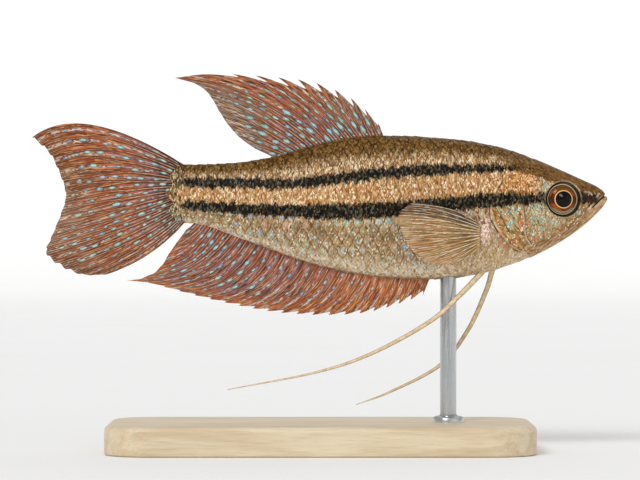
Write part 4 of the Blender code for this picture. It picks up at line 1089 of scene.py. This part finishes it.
def fin_point(rays, i, t):
    """The (x, z) of a fin's middle surface at ray number i, a share t of the way from root to tip."""
    root, tip = rays["root"](i), rays["tip"](i)
    chord = tip - root
    across = np.stack([-chord[..., 1], chord[..., 0]], -1)
    control = root + rays["bend"](i)[..., None] * chord + 2 * rays["bow"](i)[..., None] * across
    t = t[..., None]
    return (1 - t) ** 2 * root + 2 * t * (1 - t) * control + t * t * tip


def hash_values(number, salt):
    """A steady random number from 0 to 1 for each whole number."""
    return np.modf(np.abs(np.sin(number * 12.9898 + salt * 78.233) * 43758.5453))[0]


def fin_spots(i, run, length, spacing, spots):
    """How strongly each point lies in one of the gleaming spots that stand in rows between the rays.

    spots has the distance between spots, their half length and half width, how large they are at a point, and
    the distance from the root of a row of dots, or 0 for none.
    """
    step, long_half, short_half, size_at, dots = spots
    if step == 0:
        return np.zeros(i.shape)
    lane = np.minimum(np.floor(i), i.max() - 1) + 0.5
    strength = np.zeros(i.shape)
    shift = hash_values(lane, 1)
    for k in range(1, 11):
        where = (k - 0.5 + 0.5 * (lane % 2 > 1) + 0.3 * shift) * step
        where += (hash_values(lane + 31 * k, 2) - 0.5) * 0.4
        size = (0.58 + 0.6 * hash_values(lane + 17 * k, 5)) * size_at(lane, where / length)
        side_way = (hash_values(lane + 5 * k, 9) - 0.5) * 0.3
        a = np.abs(run - where) / (long_half * size)
        b = np.abs(i - lane - side_way) * spacing / (short_half * size)
        gap = (a**1.5 + b**1.5) ** (1 / 1.5)
        present = (hash_values(lane + 7 * k, 4) > 0.12) * (where < length * 0.95)
        shine = 0.6 + 0.5 * hash_values(lane + 13 * k, 6)
        strength = np.maximum(strength, present * shine * np.clip(1.15 - gap, 0, 1))
    if dots:
        gap = np.hypot((run - dots) / 0.14, (i - lane) * spacing / 0.17)
        strength = np.maximum(strength, np.clip(1.2 - gap, 0, 1))
    return strength


def curve_of_tips(*parts):
    """A function of the ray's number along the fin's margin, and its last number.

    Each part is (points, how many rays end on the smooth line through them). Straight steps join the parts.
    """
    numbers, places, start = [], [], 0
    for points, count in parts:
        fine = max(1, 8 * (count - 1)) + 1
        numbers.append(start + np.linspace(0, count - 1, fine))
        places.append(line_through(points)(np.linspace(0, 1, fine)) if count > 1
                      else np.array(points, float))
        start += count
    numbers = np.concatenate([n[:len(p)] for n, p in zip(numbers, places)])
    places = np.concatenate(places)
    return lambda i: np.stack([np.interp(i, numbers, places[:, axis]) for axis in range(2)], -1), start - 1


def constant(value):
    return lambda i, t=0: np.full(np.shape(i), float(value))


def dorsal_fin(finish):
    tip, last = curve_of_tips((DORSAL_LEADING, 9), ([DORSAL_BROW], 1),
                              ([DORSAL_TIP], 1), (DORSAL_TRAILING, 8))

    def root(i):
        x = mix(*DORSAL_ROOT, i / last)
        return np.stack([x, back(x) - FIN_SUNK], -1)

    def fade(i, t):
        share = ease((i - 9) / 4) * ease((t - 0.3) / 0.4) + 0.7 * ease((7 - i) / 6)
        return np.clip(share, 0, 1) * ease((t - 0.1) / 0.3)

    def spot_size(i, t):
        return 1.2 - (0.6 + 0.4 * ease((7 - i) / 4)) * ease((t - 0.5) / 0.35)

    rays = {
        "last": last, "root": root, "tip": tip,
        "bow": smooth([(0, 0.0), (4, -0.01), (9, -0.09), (13, -0.05), (last, 0.03)]),
        "bend": constant(0.5),
        "notch": smooth([(0, 0.34), (3, 0.2), (8, 0.1), (9, 0.0), (10, 0.0), (last, 0.012)]),
        "fade": fade,
        "deep": lambda i, t: 0.3 + 0.7 * ease((0.42 - t) / 0.25),
        "frost": lambda i, t: ease((t - 0.45) / 0.3),
        "spots": (1.85, 0.66, 0.31, spot_size, 0.62),
    }
    return fin_sheet("dorsal_fin_skin", rays, lambda i, t, spot: 0.7 * t * t * np.sin(0.45 * i - 0.8),
                     finish, (0.2, 0.07, 0.1))


def anal_fin(finish):
    tip, last = curve_of_tips((ANAL_LEADING, 20), ([ANAL_TIP], 1), (ANAL_TRAILING, 6))
    root_x = smooth(ANAL_ROOT)

    def root(i):
        x = root_x(i)
        return np.stack([x, belly(x) + FIN_SUNK], -1)

    def spot_size(i, t):
        return mix(0.55, 1.1, ease((i - 3) / 12)) * (1 - 0.4 * ease((t - 0.6) / 0.4))

    rays = {
        "last": last, "root": root, "tip": tip,
        "bow": smooth([(0, 0.0), (3, 0.04), (9, 0.09), (15, 0.13), (20, 0.14), (23, 0.1), (last, 0.04)]),
        "bend": constant(0.5),
        "notch": smooth([(0, 0.3), (4, 0.14), (10, 0.08), (18, 0.03), (last, 0.01)]),
        "fade": lambda i, t: 0.25 * ease((t - 0.75) / 0.25),
        "deep": lambda i, t: ease((i - 3) / 12) * ease((1.05 - t) / 0.5),
        "frost": lambda i, t: ease((16 - i) / 6) * ease((t - 0.35) / 0.25),
        "spots": (1.5, 0.52, 0.25, spot_size, 0),
    }
    return fin_sheet("anal_fin_skin", rays, lambda i, t, spot: 0.6 * t * t * np.sin(0.33 * i + 0.4),
                     finish, (0.2, 0.07, 0.1), rows=70)


def tail_fin(finish):
    tip, last = curve_of_tips((TAIL_TIPS, 17))
    top, bottom = float(back(TAIL_STALK_END)), float(belly(TAIL_STALK_END))
    middle, half = (top + bottom) / 2, (top - bottom) / 2

    def root(i):
        level = mix(0.97, -0.97, i / last)
        return np.stack([TAIL_STALK_END + 0.9 - 0.8 * (1 - level**2), middle + half * 0.97 * level], -1)

    def spot_size(i, t):
        inner = 1.1 - 0.4 * ease((t - 0.7) / 0.3) - 0.35 * ease((0.3 - t) / 0.3)
        return np.where((i < 1) | (i > last - 2), 0.6, inner)

    rays = {
        "last": last, "root": root, "tip": tip,
        "bow": smooth([(0, -0.15), (4, -0.06), (8, 0.0), (12, 0.03), (last, 0.07)]),
        "bend": smooth([(0, 0.74), (3, 0.62), (6, 0.5), (last, 0.5)]),
        "notch": smooth([(0, 0.014), (11, 0.014), (13, 0.026), (15, 0.01), (last, 0.004)]),
        "fade": lambda i, t: 0.8 * ease((t - 0.6) / 0.35) * hump((i - 9) / 7),
        # deep passes 1 near the root, for the painted shade there.
        "deep": lambda i, t: ease((0.55 - t) / 0.4) + 0.8 * ease((0.26 - t) / 0.2),
        "frost": lambda i, t: 0.7 * ease((t - 0.7) / 0.2) + hump((i - 1) / 1.3) + hump((i - 15) / 1.3),
        "spots": (1.6, 0.58, 0.22, spot_size, 0),
    }
    return fin_sheet("tail_fin_skin", rays, lambda i, t, spot: 0.8 * t * t * np.sin(0.5 * i - 1.0),
                     finish, (0.3, 0.07, 0.1), per_ray=16, rows=110)


def pectoral_fin(name, sign, finish):
    tip, last = curve_of_tips((PECTORAL_MARGIN, 12))
    x, z = PECTORAL_ROOT

    def root(i):
        level = z + PECTORAL_ROOT_HEIGHT * mix(0.5, -0.5, i / last)
        return np.stack([np.full(np.shape(i), x + 0.05), level], -1)

    rays = {
        "last": last, "root": root, "tip": tip,
        "bow": smooth([(0, -0.07), (6, 0.0), (last, 0.06)]),
        "bend": constant(0.5),
        "notch": constant(0.01),
        "fade": lambda i, t: ease((t - 0.15) / 0.4) * (1 - 0.85 * ease((3.6 - i) / 1.6)),
        "deep": lambda i, t: ease((3.6 - i) / 1.6),
        "frost": constant(0.1),
        "spots": (0, 0, 0, None, 0),
        "fork": 0.0,
    }
    out = float(side(x, z)) + PECTORAL_STANDS_OFF
    spread_way, roll = math.tan(PECTORAL_SPREAD), math.tan(PECTORAL_ROLL)

    def across(i, t, spot):
        behind = x - spot[..., 0]
        return sign * (out + behind * spread_way + (spot[..., 1] - z) * roll - 0.012 * behind**2)

    lean = (math.sin(PECTORAL_SPREAD), sign, -math.sin(PECTORAL_ROLL))
    return fin_sheet(name, rays, across, finish, (0.16, 0.05, 0.08), lean, rows=64)


def pelvic_fin(name, points, sign, finish):
    """One long pelvic filament: a flattened ray with a groove along each face."""
    steps, sides = 150, 16
    share = np.linspace(0, 1, steps)
    flat = line_through(points)(share)
    out = sign * mix(PELVIC_ROOT_OUT, PELVIC_TIP_OUT, share**0.6)
    middle = np.stack([flat[:, 0], out, flat[:, 1]], -1)
    way = np.gradient(middle, axis=0)
    way /= np.linalg.norm(way, axis=1, keepdims=True)
    middle = np.concatenate([[middle[0] - 1.2 * way[0]], middle])
    way = np.concatenate([way[:1], way])
    share = np.concatenate([[0], share])
    across = np.cross(way, (0, 1, 0))
    across /= np.linalg.norm(across, axis=1, keepdims=True)
    up = np.cross(across, way)
    radius = smooth([(0, 0.35), (0.33, 0.28), (0.66, 0.2), (1, 0.05)])(share)
    turns = np.linspace(0, 2 * np.pi, sides, endpoint=False)
    groove = 1 - 0.16 * hump(np.cos(turns) / 0.35)
    ring = across[:, None] * (np.cos(turns) * groove)[None, :, None]
    ring = ring + up[:, None] * (np.sin(turns) * groove * 0.72)[None, :, None]
    points = middle[:, None] + ring * radius[:, None, None]
    run = np.concatenate([[0], np.cumsum(np.linalg.norm(np.diff(middle, axis=0), axis=1))])
    faces = tube_faces(len(middle), sides)
    size = (len(middle), sides)
    values = {"edge": np.broadcast_to(np.abs(np.cos(turns)), size),
              "along": np.broadcast_to(run[:, None], size)}
    piece = mesh(name, points.reshape(-1, 3), faces, values, finish)
    make_outward(piece)
    return piece


def eye(name, sign, finish):
    """An eye with a cornea bulging over the pupil. Its rings are laid out as they look from the side."""
    rings, sides = EYE_GRID
    x, z = EYE_CENTRE
    out = float(side(x, z)) + EYE_STANDS_OUT - EYE_DEPTH
    latitude = np.linspace(0, np.pi, rings)[:, None]
    longitude = np.linspace(0, 2 * np.pi, sides, endpoint=False)[None]
    u = EYE_RADIUS * np.sin(latitude) * np.cos(longitude)
    w = EYE_RADIUS * np.sin(latitude) * np.sin(longitude)
    reach, rise = CORNEA
    bulge = rise * np.clip(1 - (np.hypot(u, w) / reach) ** 2, 0, 1) ** 2 * (np.cos(latitude) > 0)
    dome = EYE_DEPTH * np.cos(latitude) + bulge
    turn = sign * EYE_TURN
    px = x + u * math.cos(turn) + sign * dome * math.sin(turn)
    py = sign * (out + dome * math.cos(turn)) - u * math.sin(turn)
    points = np.stack([px, py, z + w], -1).reshape(-1, 3)
    seen = px - x
    sunk = 0.16 * hump((np.hypot(seen, w) - 1.7) / 0.35)
    values = {"ring": np.hypot(seen + sunk, w) / EYE_RADIUS, "height": w / EYE_RADIUS}
    values["turn"] = np.arctan2(w, seen) / np.pi
    piece = mesh(name, points, grid_faces(rings, sides, closed=True), values, finish)
    make_outward(piece)
    return piece


def lathe(profile, sides, x=0.0):
    """The points of (radius, level) rings about an upright axis at x."""
    turns = np.linspace(0, 2 * np.pi, sides, endpoint=False)
    rings = [[x + r * np.cos(turns), r * np.sin(turns), np.full(sides, level)] for r, level in profile]
    return np.concatenate([np.stack(ring, -1) for ring in rings])


def sharpen(piece):
    """The piece with its edges kept crisp and its faces turned outward."""
    piece.data.set_sharp_from_angle(angle=math.radians(35))
    make_outward(piece)
    return piece


def stand_base(finish):
    """The base, with rounded corners and softly rounded edges."""
    length, width, height = BASE_SIZE
    outline = []
    for cx, cy, start in ((1, 1, 0), (-1, 1, 90), (-1, -1, 180), (1, -1, 270)):
        for step in range(17):
            angle = math.radians(start + 90 * step / 16)
            middle = (cx * (length / 2 - BASE_CORNER), cy * (width / 2 - BASE_CORNER))
            outline.append((*middle, math.cos(angle), math.sin(angle)))
    outline = np.array(outline)
    bend = BASE_EDGE
    profile = [(0.5, 0.0), (0.2, 0.04), (0.05, 0.15), (0.0, 0.4), (0.0, height - bend)]
    for a in np.linspace(0.2, math.pi / 2, 8):
        profile.append((bend - bend * math.cos(a), height - bend + bend * math.sin(a)))
    count = len(outline)
    rings = []
    for inset, level in profile:
        ring = outline[:, :2] + (BASE_CORNER - inset) * outline[:, 2:]
        rings.append(np.column_stack([ring, np.full(count, level)]))
    points = np.concatenate(rings)
    return sharpen(mesh("base_wood", points, tube_faces(len(rings), count), finish=finish, flat=True))


def stand_rod(finish):
    """The rod, with a collar at its foot, up into the belly."""
    top = AXIS_HEIGHT + float(belly(ROD_X)) + ROD_IN_BELLY
    low = BASE_SIZE[2]
    collar = [(ROD_RADIUS, -0.2), (1.9, -0.2), (1.9, 0.45), (1.8, 0.6),
              (1.6, 0.7), (1.12, 0.8), (ROD_RADIUS, 0.95)]
    profile = [(radius, low + level) for radius, level in collar]
    profile += [(ROD_RADIUS, top - 0.3), (0.93, top - 0.1), (0.75, top), (0.0001, top)]
    sides = 48
    faces = grid_faces(len(profile), sides, closed=True).tolist() + [tuple(reversed(range(sides)))]
    return sharpen(mesh("rod_steel", lathe(profile, sides, ROD_X), faces, finish=finish, flat=True))


def studio():
    """A pale floor that curves up all round, four lights and the photograph's camera."""
    s = Shader("floor")
    grain = s.noise((0.02, 0.02, 0.02), 3)
    s.colour = s.mix(grain, (248, 248, 247), (252, 252, 252))
    s.finish(Roughness=0.75)
    profile = [(0.0001, 0.0), (FLOOR_RADIUS, 0.0)]
    for a in np.linspace(0.1, 1.57, 12):
        profile.append((FLOOR_RADIUS + FLOOR_BEND * math.sin(a), FLOOR_BEND - FLOOR_BEND * math.cos(a)))
    sides = 96
    faces = grid_faces(len(profile), sides, closed=True, flip=True)
    floor = mesh("floor", lathe(profile, sides), faces, finish=s.material, flat=True)
    world = bpy.data.worlds.new("studio")
    world.use_nodes = True
    sky = world.node_tree.nodes["Background"].inputs
    sky["Color"].default_value = (1, 1, 1, 1)
    sky["Strength"].default_value = SKY_STRENGTH
    bpy.context.scene.world = world
    for name, way, width, strength in LIGHTS:
        light = bpy.data.lights.new(name, "SUN")
        light.angle, light.energy = math.radians(width), strength
        lamp = bpy.data.objects.new(name, light)
        lamp.rotation_euler = (-Vector(way)).to_track_quat("-Z", "Y").to_euler()
        bpy.context.scene.collection.objects.link(lamp)
    camera = bpy.data.cameras.new("photo_view")
    camera.sensor_width = SENSOR
    camera.lens = SENSOR * VIEW_DISTANCE / VIEW_WIDTH
    camera.clip_start, camera.clip_end = 0.01, 10
    eye_point = bpy.data.objects.new("photo_view", camera)
    eye_point.location = Vector((VIEW_CENTRE[0], -VIEW_DISTANCE, VIEW_CENTRE[2])) * MM
    eye_point.rotation_euler = (math.radians(90), 0, 0)
    bpy.context.scene.collection.objects.link(eye_point)
    bpy.context.scene.camera = eye_point
    bpy.context.scene.view_settings.view_transform = "Standard"


def dress(pieces, slot, *nodes):
    """Ties pieces to the part: they ride on its body and stand for the named nodes."""
    for piece in pieces:
        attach(piece, "root")
        if nodes:
            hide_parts(*nodes)


def build():
    """The fish and its stand, piece by piece, each tied to the part."""
    flesh = ("head", "trunk", "tail_stalk")
    dress([skin(skin_material())], "skin", *flesh)
    dress(scales(scale_material()), "skin")
    red = fin_material("fin", (RUST_TONES, BRICK_TONES, FADED_TONES, RAY_TONES), (0.0, 0.12), 0.9)
    ashy = fin_material("dorsal", (RUST_TONES, BRICK_TONES, ASHY_TONES, RAY_TONES), (0.0, 0.15), 0.9)
    dress([dorsal_fin(ashy)], "fin", "dorsal_fin")
    amber = fin_material("anal", (AMBER_TONES, BRICK_TONES, AMBER_TONES, RAY_TONES), (0.0, 0.12), 0.8)
    dress([anal_fin(amber)], "fin", "anal_fin")
    dress([tail_fin(red)], "fin", "tail_fin")
    pale = fin_material("pectoral", (ROOT_TONES, SMOKE_TONES, WEB_TONES, STRAW_TONES), (0.2, 0.45), 0.55)
    thread = filament_material()
    wet = eye_material()
    for name, sign, route in (("left", 1, PELVIC_FAR), ("right", -1, PELVIC_NEAR)):
        dress([pectoral_fin(f"pectoral_{name}_skin", sign, pale)], "pale_fin", f"pectoral_{name}")
        dress([pelvic_fin(f"pelvic_{name}_skin", route, sign, thread)],
              "pale_fin", f"pelvic_{name}_base", f"pelvic_{name}_tip")
        dress([eye(f"eye_{name}_skin", sign, wet)], "eye", f"eye_{name}")
    dress([stand_base(wood_material())], "stand_wood", "stand_base")
    dress([stand_rod(steel_material())], "stand_steel", "stand_rod")


build()
studio()
